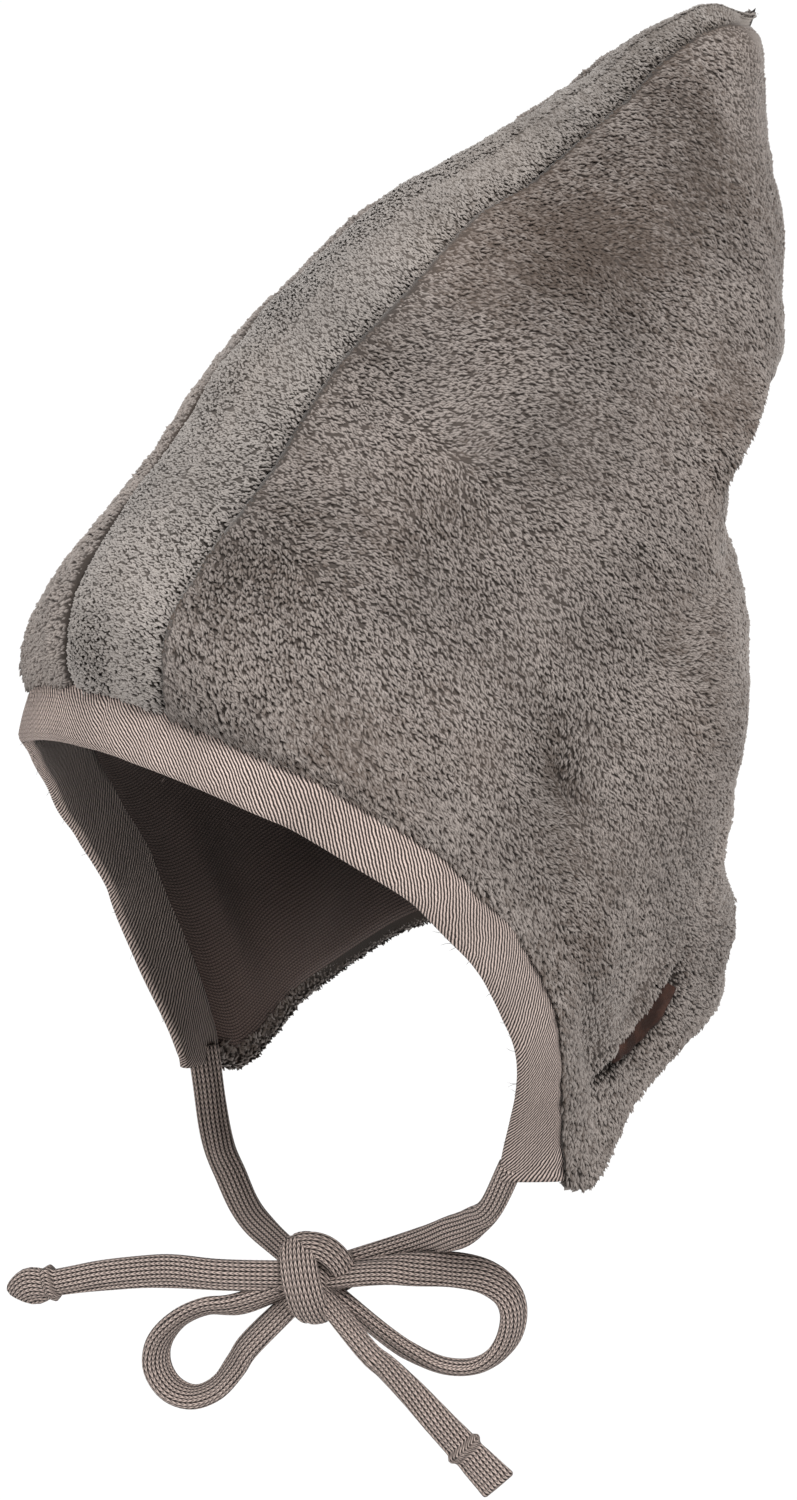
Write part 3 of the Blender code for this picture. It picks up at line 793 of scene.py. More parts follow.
@dataclass(frozen=True)
class KnitFinish:
    """A fine knit: rows of slanted stitches with dark gaps between them, painted shade in the hollows."""

    weave: Weave = Weave.JERSEY
    slant: float = 1.8
    wale: float = 0.00070
    course: float = 0.00062
    depth: float = 0.00040
    row_share: float = 0.60
    wale_share: float = 1.0
    wale_power: float = 2.5
    wobble: float = 0.9
    wobble_scale: float = 350.0
    thread: Colour = (0.650, 0.520, 0.462)
    gap: Colour = (0.012, 0.008, 0.007)
    worn: Colour = (0.480, 0.382, 0.338)
    worn_share: float = 0.6
    worn_scale: float = 60.0
    roughness: float = 0.8
    specular: float = 0.25
    sheen: float = 0.05
    sheen_roughness: float = 0.5

    def build(self, name: str) -> bpy.types.Material:
        """Makes the material; the weave follows the mesh's own lengths, in metres."""
        graph = Graph(name)
        place = graph.add("SeparateXYZ", graph.add("UVMap", uv_map="weave").outputs[0])
        wobble = graph.math("MULTIPLY", graph.noise(self.wobble_scale, 2.0), self.wobble)
        across = graph.math("DIVIDE", place.outputs[0], self.wale)
        along = graph.math("ADD", graph.math("DIVIDE", place.outputs[1], self.course), wobble)
        within = graph.math("ABSOLUTE", graph.math("SUBTRACT", graph.math("FRACT", across), 0.5))
        slant = graph.math("MULTIPLY", within if self.weave is Weave.JERSEY else across, self.slant)
        turn = graph.math("MULTIPLY", graph.math("ADD", along, slant), 2 * math.pi)
        row = graph.reach(graph.math("COSINE", turn), -1, 1, 0, 1)
        valley = graph.math("POWER", graph.math("MULTIPLY", within, 2), self.wale_power)
        ridge = graph.partly(graph.math("SUBTRACT", 1.0, valley), self.wale_share)
        height = graph.math("MULTIPLY", ridge, graph.partly(row, self.row_share))
        wear = graph.reach(graph.noise(self.worn_scale, 3.0), 0.4, 0.7, 0, self.worn_share)
        thread = graph.mix(wear, self.thread, self.worn)
        # The dark gap colour is painted shade in the hollows between the stitches
        colour = graph.mix(graph.reach(height, 0.25, 0.85, 0, 1), self.gap, thread)
        # A mesh's shade number darkens the colour as painted shade, and below zero lightens it as painted
        # light
        sockets = {
            "Base Color": graph.scaled(colour, graph.math("SUBTRACT", 1.0, graph.attribute("shade"))),
            "Roughness": self.roughness,
            "Sheen Weight": self.sheen,
            "Sheen Roughness": self.sheen_roughness,
            "Specular IOR Level": self.specular,
        }
        graph.finish(sockets, height, self.depth)
        return graph.material


@dataclass(frozen=True)
class LeatherFinish:
    """Plain dark leather with a fine grain and lighter rubbed patches."""

    skin: Colour = (0.020, 0.008, 0.005)
    rubbed: Colour = (0.062, 0.027, 0.018)
    roughness: float = 0.65
    specular: float = 0.15
    grain_scale: float = 1400.0
    grain_depth: float = 0.00025
    cloud_scale: float = 240.0

    def build(self, name: str) -> bpy.types.Material:
        """Makes the material."""
        graph = Graph(name)
        grain = graph.noise(self.grain_scale, 4.0)
        cloud = graph.reach(graph.noise(self.cloud_scale, 3.0), 0.4, 0.7, 0, 1)
        sockets = {
            "Base Color": graph.mix(cloud, self.skin, self.rubbed),
            "Roughness": self.roughness,
            "Specular IOR Level": self.specular,
        }
        graph.finish(sockets, grain, self.grain_depth)
        return graph.material


@dataclass
class Patch:
    """A grid over part of the hood, with what the shell and its pile need."""

    points: Array
    normals: Array
    ways: Array
    downs: Array
    sewn: Array
    tone: Array
    sink: Array | float = 0.0

    @cached_property
    def fall(self) -> Array:
        """The unit course down the side."""
        return unit(np.gradient(self.points, axis=1))

    @cached_property
    def back(self) -> Array:
        """The unit course to the back, square to the fall."""
        course = np.gradient(self.points, axis=0)
        course -= (course * self.fall).sum(-1, keepdims=True) * self.fall
        return unit(course)

    @cached_property
    def even(self) -> Array:
        """How long wisps may be: longer over the binding, and shorter at the back's smooth outline."""
        return 1 + 0.30 * bump(self.ways, 0.12) - 0.45 * ease((self.ways - 0.88) / 0.12)

    @cached_property
    def cell_areas(self) -> Array:
        """The area of each cell of the grid."""
        corner = self.points[:-1, :-1]
        first, second = self.points[1:, 1:] - corner, self.points[1:, :-1] - corner
        third = self.points[:-1, 1:] - corner
        halves = np.cross(first, second), np.cross(third, first)
        return sum(np.linalg.norm(half, axis=-1) for half in halves) / 2

    def read(self, grid: Array, row: Array, col: Array) -> Array:
        """A grid's values between its points."""
        r, c = np.floor(row).astype(int), np.floor(col).astype(int)
        a, b = row - r, col - c
        if grid.ndim == 3:
            a, b = a[:, None], b[:, None]
        top = grid[r, c] * (1 - b) + grid[r, c + 1] * b
        low = grid[r + 1, c] * (1 - b) + grid[r + 1, c + 1] * b
        return top * (1 - a) + low * a


def add_mesh(name: str, verts: Array, faces: list | Array, material: bpy.types.Material) -> bpy.types.Object:
    """Adds a smooth-shaded mesh to the scene.

    Args:
        name: The piece's name.
        verts: Its corners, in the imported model's frame.
        faces: Its faces, as numbers of corners.
        material: Its finish.

    Returns:
        The new object.
    """
    mesh = bpy.data.meshes.new(name)
    verts = np.asarray(verts).reshape(-1, 3).tolist()
    mesh.from_pydata(verts, [], faces if isinstance(faces, list) else faces.tolist(), shade_flat=False)
    mesh.materials.append(material)
    obj = bpy.data.objects.new(name, mesh)
    bpy.context.scene.collection.objects.link(obj)
    return obj


def set_number(obj: bpy.types.Object, name: str, values: Array) -> None:
    """Gives each corner of a mesh a number that its material reads."""
    layer = obj.data.attributes.new(name, "FLOAT", "POINT")
    layer.data.foreach_set("value", np.asarray(values, np.float32).ravel())


def set_weave(obj: bpy.types.Object, lengths: Array) -> None:
    """Gives a mesh its weave's lengths as a UV map, one pair for each corner of the mesh."""
    layer = obj.data.uv_layers.new(name="weave")
    spots = np.zeros(len(obj.data.loops), np.int32)
    obj.data.loops.foreach_get("vertex_index", spots)
    layer.data.foreach_set("uv", np.asarray(lengths, np.float32)[spots].ravel())


def settle(obj: bpy.types.Object, slot: str, *nodes: str) -> None:
    """Lets a piece ride on the body and puts it in the place of its nodes."""
    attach(obj, BODY)
    if nodes:
        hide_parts(*nodes)
    LOG.info("%s: %d faces", obj.name, len(obj.data.polygons))


def shell_faces(rows: int, columns: int, flipped: bool) -> Array:
    """The faces of a wall between two grids of corners, the outer one first.

    Args:
        rows: How many rows each grid has.
        columns: How many columns.
        flipped: Whether the outer grid's order turns its faces inwards.

    Returns:
        Four corners for each face.
    """
    size = rows * columns
    grid = np.arange(size).reshape(rows, columns)
    ring = [grid[:-1, :-1], grid[:-1, 1:], grid[1:, 1:], grid[1:, :-1]]
    outer = np.stack([part.ravel() for part in ring], axis=1)
    inner = outer[:, ::-1] + size
    rim = np.array([*grid[0], *grid[1:, -1], *grid[-1, -2::-1], *grid[-2:0:-1, 0]])
    after = np.roll(rim, -1)
    edge = np.stack([after, rim, rim + size, after + size], axis=1)
    faces = np.concatenate([outer, inner, edge])
    return faces[:, ::-1] if flipped else faces


def tube_faces(rows: int, corners: int, flipped: bool) -> list[list[int]]:
    """The faces of a closed tube through rings of corners.

    Args:
        rows: How many rings it has.
        corners: How many corners each ring has.
        flipped: Whether the rings' order turns the faces inwards.

    Returns:
        The corners of each face, with the two ends last.
    """
    grid = np.arange(rows * corners).reshape(rows, corners)
    after = np.roll(grid, -1, axis=1)
    walls = np.stack([grid[:-1], after[:-1], after[1:], grid[1:]], axis=-1).reshape(-1, 4)
    faces = [*walls.tolist(), grid[0][::-1].tolist(), grid[-1].tolist()]
    return [face[::-1] for face in faces] if flipped else faces


@dataclass
class Pile:
    """Short rounded wisps that stand on a patch of plush and lie with its nap."""

    density: float = 2.1e6
    length: float = 0.0021
    width: float = 0.00086
    height: float = 0.00050
    lift: float = 27.0
    root_depth: float = 0.0004
    scatter: float = 10.0
    lift_scatter: float = 5.0
    lifts: tuple[float, float] = (10.0, 70.0)
    spread: tuple[float, float] = (0.8, 1.25)
    uneven: float = 0.10
    tip_scatter: float = 0.14
    tone_scatter: float = 0.20
    clump_scale: float = 0.0042
    clump_tone: float = 0.14
    bald_below: float = 0.25
    part_way: float = 0.30
    part_pull: float = 1.6

    def nap(self, patch: Patch) -> tuple[Array, Array, Array]:
        """The course of the nap over a patch.

        Args:
            patch: The patch.

        Returns:
            Its share down the side, its share to the back, and its lift in degrees.
        """
        fall = np.ones_like(patch.ways)
        back = 0.18 * ripples(patch.points, 0.09, 3)
        back = back + (self.part_pull * (patch.ways - self.part_way)).clip(-0.75, 0.55)
        lift = self.lift + 5 * ripples(patch.points, 0.035, 4) - 8 * ease((patch.ways - 0.85) / 0.1)
        for way, down, reach, strength, rise in WHORLS:
            off_way, off_down = patch.ways - way, patch.downs - down
            off = np.hypot(off_way, off_down)
            pull = strength * bump(off, reach)
            fall = fall + pull * off_down / np.maximum(off, 0.02)
            back = back + pull * off_way / np.maximum(off, 0.02)
            lift = lift + rise * bump(off, reach * 0.7)
        size = np.maximum(np.hypot(fall, back), 0.05)
        return fall / size, back / size, lift

    def spots(self, patch: Patch, rows: slice, draw: np.random.Generator) -> tuple[Array, Array]:
        """Chooses where wisps stand, so that each cell of the patch gets its share.

        Args:
            patch: The patch.
            rows: Which rows of its cells to fill.
            draw: The source of random numbers.

        Returns:
            The row and the column of each wisp, as parts of the grid.
        """
        areas = patch.cell_areas[rows]
        total = np.floor(np.cumsum(areas.ravel() * self.density) + 0.5)
        counts = np.diff(np.concatenate([[0], total])).astype(int)
        cells = np.repeat(np.arange(areas.size), counts)
        row, col = np.divmod(cells, areas.shape[1])
        return row + (rows.start or 0) + draw.random(len(cells)), col + draw.random(len(cells))

    def courses(
        self, patch: Patch, at: tuple[Array, Array], draw: np.random.Generator
    ) -> tuple[Array, Array]:
        """The course along each wisp's foot and its tilt.

        Args:
            patch: The patch they stand on.
            at: The row and the column of each wisp.
            draw: The source of random numbers.

        Returns:
            The unit courses on the surface, and the tilts off it in radians.
        """
        count = len(at[0])
        fall_share, back_share, lift = self.nap(patch)
        normal = unit(patch.read(patch.normals, *at))
        turn = np.radians(draw.normal(0, self.scatter, count))
        down, back = patch.read(fall_share, *at), patch.read(back_share, *at)
        course = (down * np.cos(turn) - back * np.sin(turn))[:, None] * patch.read(patch.fall, *at)
        course += (back * np.cos(turn) + down * np.sin(turn))[:, None] * patch.read(patch.back, *at)
        course = unit(course - (course * normal).sum(-1, keepdims=True) * normal)
        tilt = patch.read(lift, *at) + draw.normal(0, self.lift_scatter, count)
        return course, np.radians(np.clip(tilt, *self.lifts))

    def grow(
        self, name: str, patch: Patch, rows: slice, seed: int, material: bpy.types.Material
    ) -> bpy.types.Object:
        """Grows the wisps on some rows of a patch.

        Args:
            name: The piece's name.
            patch: The patch they stand on.
            rows: Which rows of its cells to fill.
            seed: Which random draw.
            material: Their finish.

        Returns:
            One object with all of them.
        """
        draw = np.random.default_rng(seed)
        row, col = self.spots(patch, rows, draw)
        kept = patch.read(patch.sewn, row, col) > self.bald_below
        at = row[kept], col[kept]
        count = len(at[0])
        root, normal = patch.read(patch.points, *at), unit(patch.read(patch.normals, *at))
        course, tilt = self.courses(patch, at, draw)
        across = np.cross(normal, course)
        clump = ripples(root, self.clump_scale, 11)
        short, even = patch.read(patch.sewn, *at), patch.read(patch.even, *at)
        uneven = 1 + self.uneven * draw.normal(0, 1, count).clip(-2, 2) + self.uneven * clump
        length = self.length * short * even * uneven
        width = self.width * draw.uniform(*self.spread, count) * (0.5 + 0.5 * short) * even
        height = self.height * draw.uniform(*self.spread, count) * (0.3 + 0.7 * short)
        cosine, sine = np.cos(tilt)[:, None], np.sin(tilt)[:, None]
        ahead, over = cosine * course + sine * normal, cosine * normal - sine * course
        start = root - self.root_depth * normal
        petal = []
        for along, side, rise, _ in WISP:
            spot = start + (along * length)[:, None] * ahead + (side * width)[:, None] * across
            petal.append(spot + (rise * height)[:, None] * over)
        petal[WISP_TIP] += (draw.normal(0, self.tip_scatter, count) * length)[:, None] * across
        one = np.array([(WISP_CREST, *pair) for pair in zip(WISP_RING, WISP_RING[1:] + WISP_RING[:1])])
        faces = (one[None] + len(WISP) * np.arange(count)[:, None, None]).reshape(-1, 3)
        obj = add_mesh(name, np.stack(petal, axis=1), faces, material)
        # Painted shade at each wisp's root and a painted highlight on its crest, read by the finish as rise
        set_number(obj, "rise", np.tile([corner[3] for corner in WISP], count))
        tone = patch.read(patch.tone, *at) + draw.normal(0, self.tone_scatter, count)
        tone += self.clump_tone * clump
        set_number(obj, "tone", np.repeat(tone.clip(-1, 1), len(WISP)))
        return obj


@dataclass
class PlushPanels:
    """The two side panels and the gusset between them, each a soft wall with its own pile."""

    rows: int = 161
    columns: int = 161
    gusset_columns: int = 36
    pile_depth: float = 0.0011
    groove: float = 0.0012
    side_groove_reach: float = 0.0011
    gusset_groove_reach: float = 0.0012
    far_groove: float = 0.4
    stitch_reach: float = 0.0007
    stitch_short: float = 0.24
    seam_reach: float = 0.0026
    seam_short: float = 0.06
    # Pile darker and browner along the seams and by the face edge: painted shade in the seams' grooves and
    # under the pile's overhang at the binding
    side_seam_tone: float = -1.1
    gusset_seam_tone: float = -0.45
    side_face_tone: float = -0.25
    gusset_face_tone: float = -0.20
    tone_reach: float = 0.0010
    gusset_tones: tuple[float, float] = (0.60, -1.05)
    far_glow: float = 0.45
    far_glow_reach: float = 0.025
    tip_from: float = 0.95
    tip_run: float = 0.03
    tip_short: float = 0.6
    round_off: float = 0.0016
    round_from: float = 0.94
    side: PileFinish = PileFinish()
    gusset: PileFinish = PileFinish(
        root=(0.040, 0.034, 0.030),
        body=(0.170, 0.150, 0.136),
        tip=(0.460, 0.420, 0.390),
        brown=(0.180, 0.145, 0.120),
        sheen=0.4,
    )
    side_pile: Pile = field(default_factory=Pile)
    gusset_pile: Pile = field(
        default_factory=lambda: Pile(density=3.2e6, length=0.0018, width=0.00070, lift=24.0, part_pull=0.0)
    )
    roll_pile: Pile = field(
        default_factory=lambda: Pile(density=2.2e6, length=0.0019, lift=24.0, scatter=22.0, part_pull=0.0)
    )
    cloth: float = 0.0012
    cloth_rise: float = 0.2
    cloth_tip_rise: float = 0.8
    roll_edge: float = 0.985
    roll_radius: float = 0.0016
    roll_inside: float = 0.0030
    fold_fade: float = 0.007
    fold_bottom: float = 0.0012

    def tip(self, ways: Array) -> Array:
        """How far into the peak's tip places lie."""
        return ease((ways - self.tip_from) / self.tip_run)

    def stitched(self, seam: Array) -> Array:
        """How long wisps are beside a seam, as a share of their length."""
        close = self.stitch_short * bump(seam, self.stitch_reach)
        return 1 - close - self.seam_short * bump(seam, self.seam_reach)

    def fold(self, points: Array, normals: Array) -> tuple[Array, Array]:
        """The fold round the label, on the wearer's left.

        Args:
            points: Places on the panel, in the forehead's frame.
            normals: The panel's normals there.

        Returns:
            How far the fold moves each place outwards, and how far it is from the fold's bottom.
        """
        rows = smooth_line(np.array(LABEL), 40)
        line = PLUSH.points(rows[:, 0], rows[:, 1])
        flat = points.reshape(-1, 3)
        off = flat[:, None, :] - line[None]
        near = np.linalg.norm(off, axis=-1).argmin(axis=1)
        gap = off[np.arange(len(flat)), near]
        along = unit(np.gradient(line, axis=0))[near]
        side = (np.cross(normals.reshape(-1, 3), along) * gap).sum(-1)
        beyond = np.abs((gap * along).sum(-1))
        lip = sum(height * bump(side - up, reach) for up, reach, height in FOLD)
        lip = lip * bump(beyond, self.fold_fade)
        size = np.hypot(side - self.fold_bottom, 0.6 * beyond)
        return lip.reshape(points.shape[:-1]), size.reshape(points.shape[:-1])

    def side_patch(self, side: Side) -> Patch:
        """The grid over one side panel.

        Args:
            side: Which panel.

        Returns:
            The grid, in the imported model's frame.
        """
        ways = CUT.even_ways(self.rows)
        start = [CUT.gusset_half(way) + CUT.seam_gap / 2 for way in ways]
        downs = np.array([CUT.arch_shares(w, s, None, self.columns) for w, s in zip(ways, start)])
        ways = np.broadcast_to(ways[:, None], downs.shape)
        points, normals = PLUSH.points(ways, downs), outward(ways, downs)
        seam, face = run_length(points, 1), run_length(points, 0)
        deep = 1.0 if side is Side.LEFT else self.far_groove
        relief = -deep * self.groove * bump(seam, self.side_groove_reach)
        relief += edge_lines(SIDE_LINES, {"seam": seam, "face": face, "neck": seam[:, -1:] - seam})
        relief += 0.0004 * ripples(points, 0.024, 21 + side.value) + 0.00018 * ripples(points, 0.009, 23)
        tip = self.tip(ways)
        sewn = self.stitched(seam) * (1 - 0.5 * tip * bump(seam, 0.006))
        # Painted shade along the seam's groove, weaker on the far side, and by the face edge
        tone = deep * self.side_seam_tone * bump(seam, 0.0009) * (1 - tip)
        tone += self.side_face_tone * bump(face, self.tone_reach)
        tone += 0.16 * ripples(points, 0.05, 25) + 0.10 * ripples(points, 0.017, 26)
        if side is Side.RIGHT:
            tone += self.far_glow * bump(seam, self.far_glow_reach)
        for way, down, way_reach, down_reach, value in TONES:
            tone += value * np.exp(-(((ways - way) / way_reach) ** 2) - ((downs - down) / down_reach) ** 2)
        sink = np.zeros(points.shape[:-1])
        if side is Side.LEFT:
            fold, off = self.fold(points, normals)
            relief += fold
            sewn *= 1 - 0.95 * bump(off, 0.0030)
            # Painted shade in the bottom of the fold by the label
            tone -= 0.4 * bump(off, 0.0024)
            sink = 0.0016 * bump(off, 0.0050)
        sign = np.array((side.value, 1, 1))
        points = points + (relief - self.pile_depth)[..., None] * normals
        points[..., 0] = np.maximum(points[..., 0], CUT.seam_gap / 4)
        return Patch(CUT.placed(points * sign), normals * sign, ways, downs, sewn, tone, sink)

    def roll_patch(self, side: Side) -> Patch:
        """The rolled neck edge of one side panel, from its outer face round to its inner one.

        Args:
            side: Which panel.

        Returns:
            The grid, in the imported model's frame.
        """
        ways = CUT.even_ways(self.rows)
        near = np.full(len(ways), self.roll_edge)
        edge, above = PLUSH.points(ways, np.ones(len(ways))), PLUSH.points(ways, near)
        out, fall = outward(ways, near), unit(edge - above)
        edge = edge - self.pile_depth * out
        turn = np.linspace(0, math.pi, 9)
        radius = self.roll_radius
        profile = [(0.0, -0.0025), (0.0, -0.0012)]
        profile += [(radius * (math.cos(a) - 1), radius * math.sin(a)) for a in turn]
        profile += [(-2.0 * radius, -share * self.roll_inside) for share in (0.2, 0.4, 0.6, 0.8, 1.0)]
        profile = np.array(profile)
        points = edge[:, None] + profile[None, :, :1] * out[:, None] + profile[None, :, 1:] * fall[:, None]
        points[..., 0] = np.maximum(points[..., 0], CUT.seam_gap / 4)
        normals = unit(np.cross(np.gradient(points, axis=1), np.gradient(points, axis=0)))
        ways = np.broadcast_to(ways[:, None], points.shape[:-1])
        inside = ease(np.arange(len(profile)) / 9 - 0.4)[None]
        tone = 0.12 * ripples(points, 0.012, 35) - 0.55 * inside
        sign = np.array((side.value, 1, 1))
        sewn = 1 - 0.75 * inside * ease((ways - 0.30) / 0.2)
        return Patch(CUT.placed(points * sign), normals * sign, ways, np.ones(tone.shape), sewn, tone)

    def gusset_patch(self) -> Patch:
        """The grid over the gusset, from its right seam to its left one."""
        ways = CUT.even_ways(self.rows)
        ways[-1] = CUT.gusset_end
        half = self.gusset_columns // 2
        downs = np.array([CUT.arch_shares(way, 0, CUT.gusset_half(way), half + 1) for way in ways])
        downs = np.concatenate([downs[:, :0:-1], downs], axis=1)
        sign = np.ones((downs.shape[1], 3))
        sign[:half, 0] = -1
        ways = np.broadcast_to(ways[:, None], downs.shape)
        points, normals = PLUSH.points(ways, downs) * sign, outward(ways, downs) * sign
        length = run_length(points, 1)
        seam, face = np.minimum(length, length[:, -1:] - length), run_length(points, 0)
        relief = -self.groove * bump(seam, self.gusset_groove_reach)
        relief += edge_lines(GUSSET_LINES, {"seam": seam, "face": face})
        relief += 0.0004 * ripples(points, 0.022, 31)
        relief -= self.round_off * ease((ways - self.round_from) / (1 - self.round_from))
        tip = self.tip(ways)
        sewn = self.stitched(seam) * (1 - self.tip_short * tip)
        start, slope = self.gusset_tones
        tone = start + slope * ways * (1 - self.tip_short * tip) + 0.10 * ripples(points, 0.03, 32)
        # Painted shade along the seams' grooves and by the face edge
        tone += self.gusset_seam_tone * bump(seam, self.tone_reach) * (1 - tip)
        tone += self.gusset_face_tone * bump(face, self.tone_reach)
        points = points + (relief - self.pile_depth)[..., None] * normals
        return Patch(CUT.placed(points), normals, ways, downs, sewn, tone)

    def shell(
        self, name: str, patch: Patch, slot: str, material: bpy.types.Material, flipped: bool, *nodes: str
    ) -> None:
        """Builds the cloth under a patch's pile, as a thin closed wall.

        Args:
            name: The piece's name.
            patch: The patch of its outer side.
            slot: Its slot, which is not used.
            material: Its finish.
            flipped: Whether the grid's order turns its faces inwards.
            nodes: The nodes it stands for.
        """
        size = patch.points.shape
        rows = np.unique([*range(0, size[0], 2), size[0] - 1])
        columns = np.unique([*range(0, size[1], 2 if size[1] > 30 else 1), size[1] - 1])
        pick = np.ix_(rows, columns)
        sink = np.broadcast_to(patch.sink, size[:2])[pick]
        outer = patch.points[pick] - sink[..., None] * patch.normals[pick]
        inner = outer - self.cloth * patch.normals[pick]
        faces = shell_faces(len(rows), len(columns), flipped)
        obj = add_mesh(name, np.stack([outer, inner]), faces, material)
        # The cloth under the pile takes colours from the wisps' root end: painted shade where it shows
        # between wisps, darkest by the seams and the label's fold, lighter in the peak's tip where the wisps
        # are short
        tip = self.tip(patch.ways[pick]) * bump(patch.downs[pick], 0.12)
        rise = np.maximum(self.cloth_rise * ease((patch.sewn[pick] - 0.95) / 0.04), self.cloth_tip_rise * tip)
        set_number(obj, "rise", np.stack([rise, rise]))
        set_number(obj, "tone", np.full(2 * rise.size, -0.2))
        settle(obj, slot, *nodes)

    def build(self) -> None:
        """Builds the three panels with their pile."""
        cloth = self.side.build("side_plush")
        middle = self.gusset.build("gusset_plush")
        half, whole = self.rows // 2, slice(0, self.rows - 1)
        for side in Side:
            flipped = side is Side.LEFT
            patch = self.side_patch(side)
            node = f"side_panel_{side.word}"
            self.shell(f"plush_side_{side.word}", patch, "side_plush", cloth, flipped, node)
            for part, rows in (("front", slice(0, half)), ("back", slice(half, self.rows - 1))):
                seed = 100 + 10 * side.value + (rows.start or 0)
                pile = self.side_pile.grow(f"pile_{side.word}_{part}", patch, rows, seed, cloth)
                settle(pile, "side_plush")
            roll = self.roll_patch(side)
            self.shell(f"neck_roll_{side.word}", roll, "side_plush", cloth, flipped)
            pile = self.roll_pile.grow(f"pile_neck_{side.word}", roll, whole, 160 + side.value, cloth)
            settle(pile, "side_plush")
        patch = self.gusset_patch()
        self.shell("plush_gusset", patch, "gusset_plush", middle, True, "centre_panel")
        settle(self.gusset_pile.grow("pile_gusset", patch, whole, 140, middle), "gusset_plush")


@dataclass
class Lining:
    """The thin jersey lining, one soft sheet inside the plush."""

    rows: int = 90
    columns: int = 80
    hem: float = 0.0032
    sag: float = 0.0034
    fold_size: float = 0.055
    sag_run: float = 0.015
    tuck: float = 0.0008
    tuck_reach: float = 0.0016
    # Painted shade on the lining, darker towards the top of the hood's hollow
    dim: float = 0.55
    dim_from: float = -0.115
    dim_run: float = 0.05
    finish: KnitFinish = KnitFinish(
        wale=0.00085,
        course=0.00075,
        depth=0.00018,
        thread=(0.185, 0.128, 0.110),
        gap=(0.036, 0.024, 0.020),
        worn=(0.130, 0.090, 0.077),
    )

    def build(self) -> None:
        """Builds the lining with its soft folds."""
        ways = CUT.even_ways(self.rows)
        downs = []
        for way in ways:
            whole = run_length(PLUSH.bare_points(way, np.linspace(0, 1, 200)), 0)[-1]
            downs.append(CUT.arch_shares(way, 0.0, whole - self.hem, self.columns))
        downs = np.array(downs)
        layers = []
        for depth in (CUT.plush + CUT.layer_gap, CUT.wall):
            points, normals = PLUSH.points(ways[:, None], downs), outward(ways[:, None], downs)
            fold = self.sag * (0.5 + 0.5 * ripples(points * (1, 0.6, 1), self.fold_size, 41)).clip(0, 1)
            start = run_length(points, 0)
            fold = fold * ease(start / self.sag_run) - self.tuck * bump(start, self.tuck_reach)
            points = points - (depth + fold)[..., None] * normals
            points[:, 1:, 0] = np.maximum(points[:, 1:, 0], CUT.seam_gap / 4)
            points[:, 0, 0] = 0
            layers.append(np.concatenate([(points * (-1, 1, 1))[:, :0:-1], points], axis=1))
        inner = layers[1]
        faces = shell_faces(*inner.shape[:2], True)
        material = self.finish.build("lining_jersey")
        obj = add_mesh("jersey_lining", CUT.placed(np.stack(layers)), faces, material)
        lengths = np.stack([run_length(inner, 1), run_length(inner, 0)], axis=-1).reshape(-1, 2)
        set_weave(obj, np.concatenate([lengths, lengths]))
        # Painted shade, darker towards the top of the hollow
        depth = self.dim * ease((inner[..., 2] - self.dim_from) / self.dim_run)
        set_number(obj, "shade", np.stack([depth, depth]))
        settle(obj, "lining_jersey", "lining")


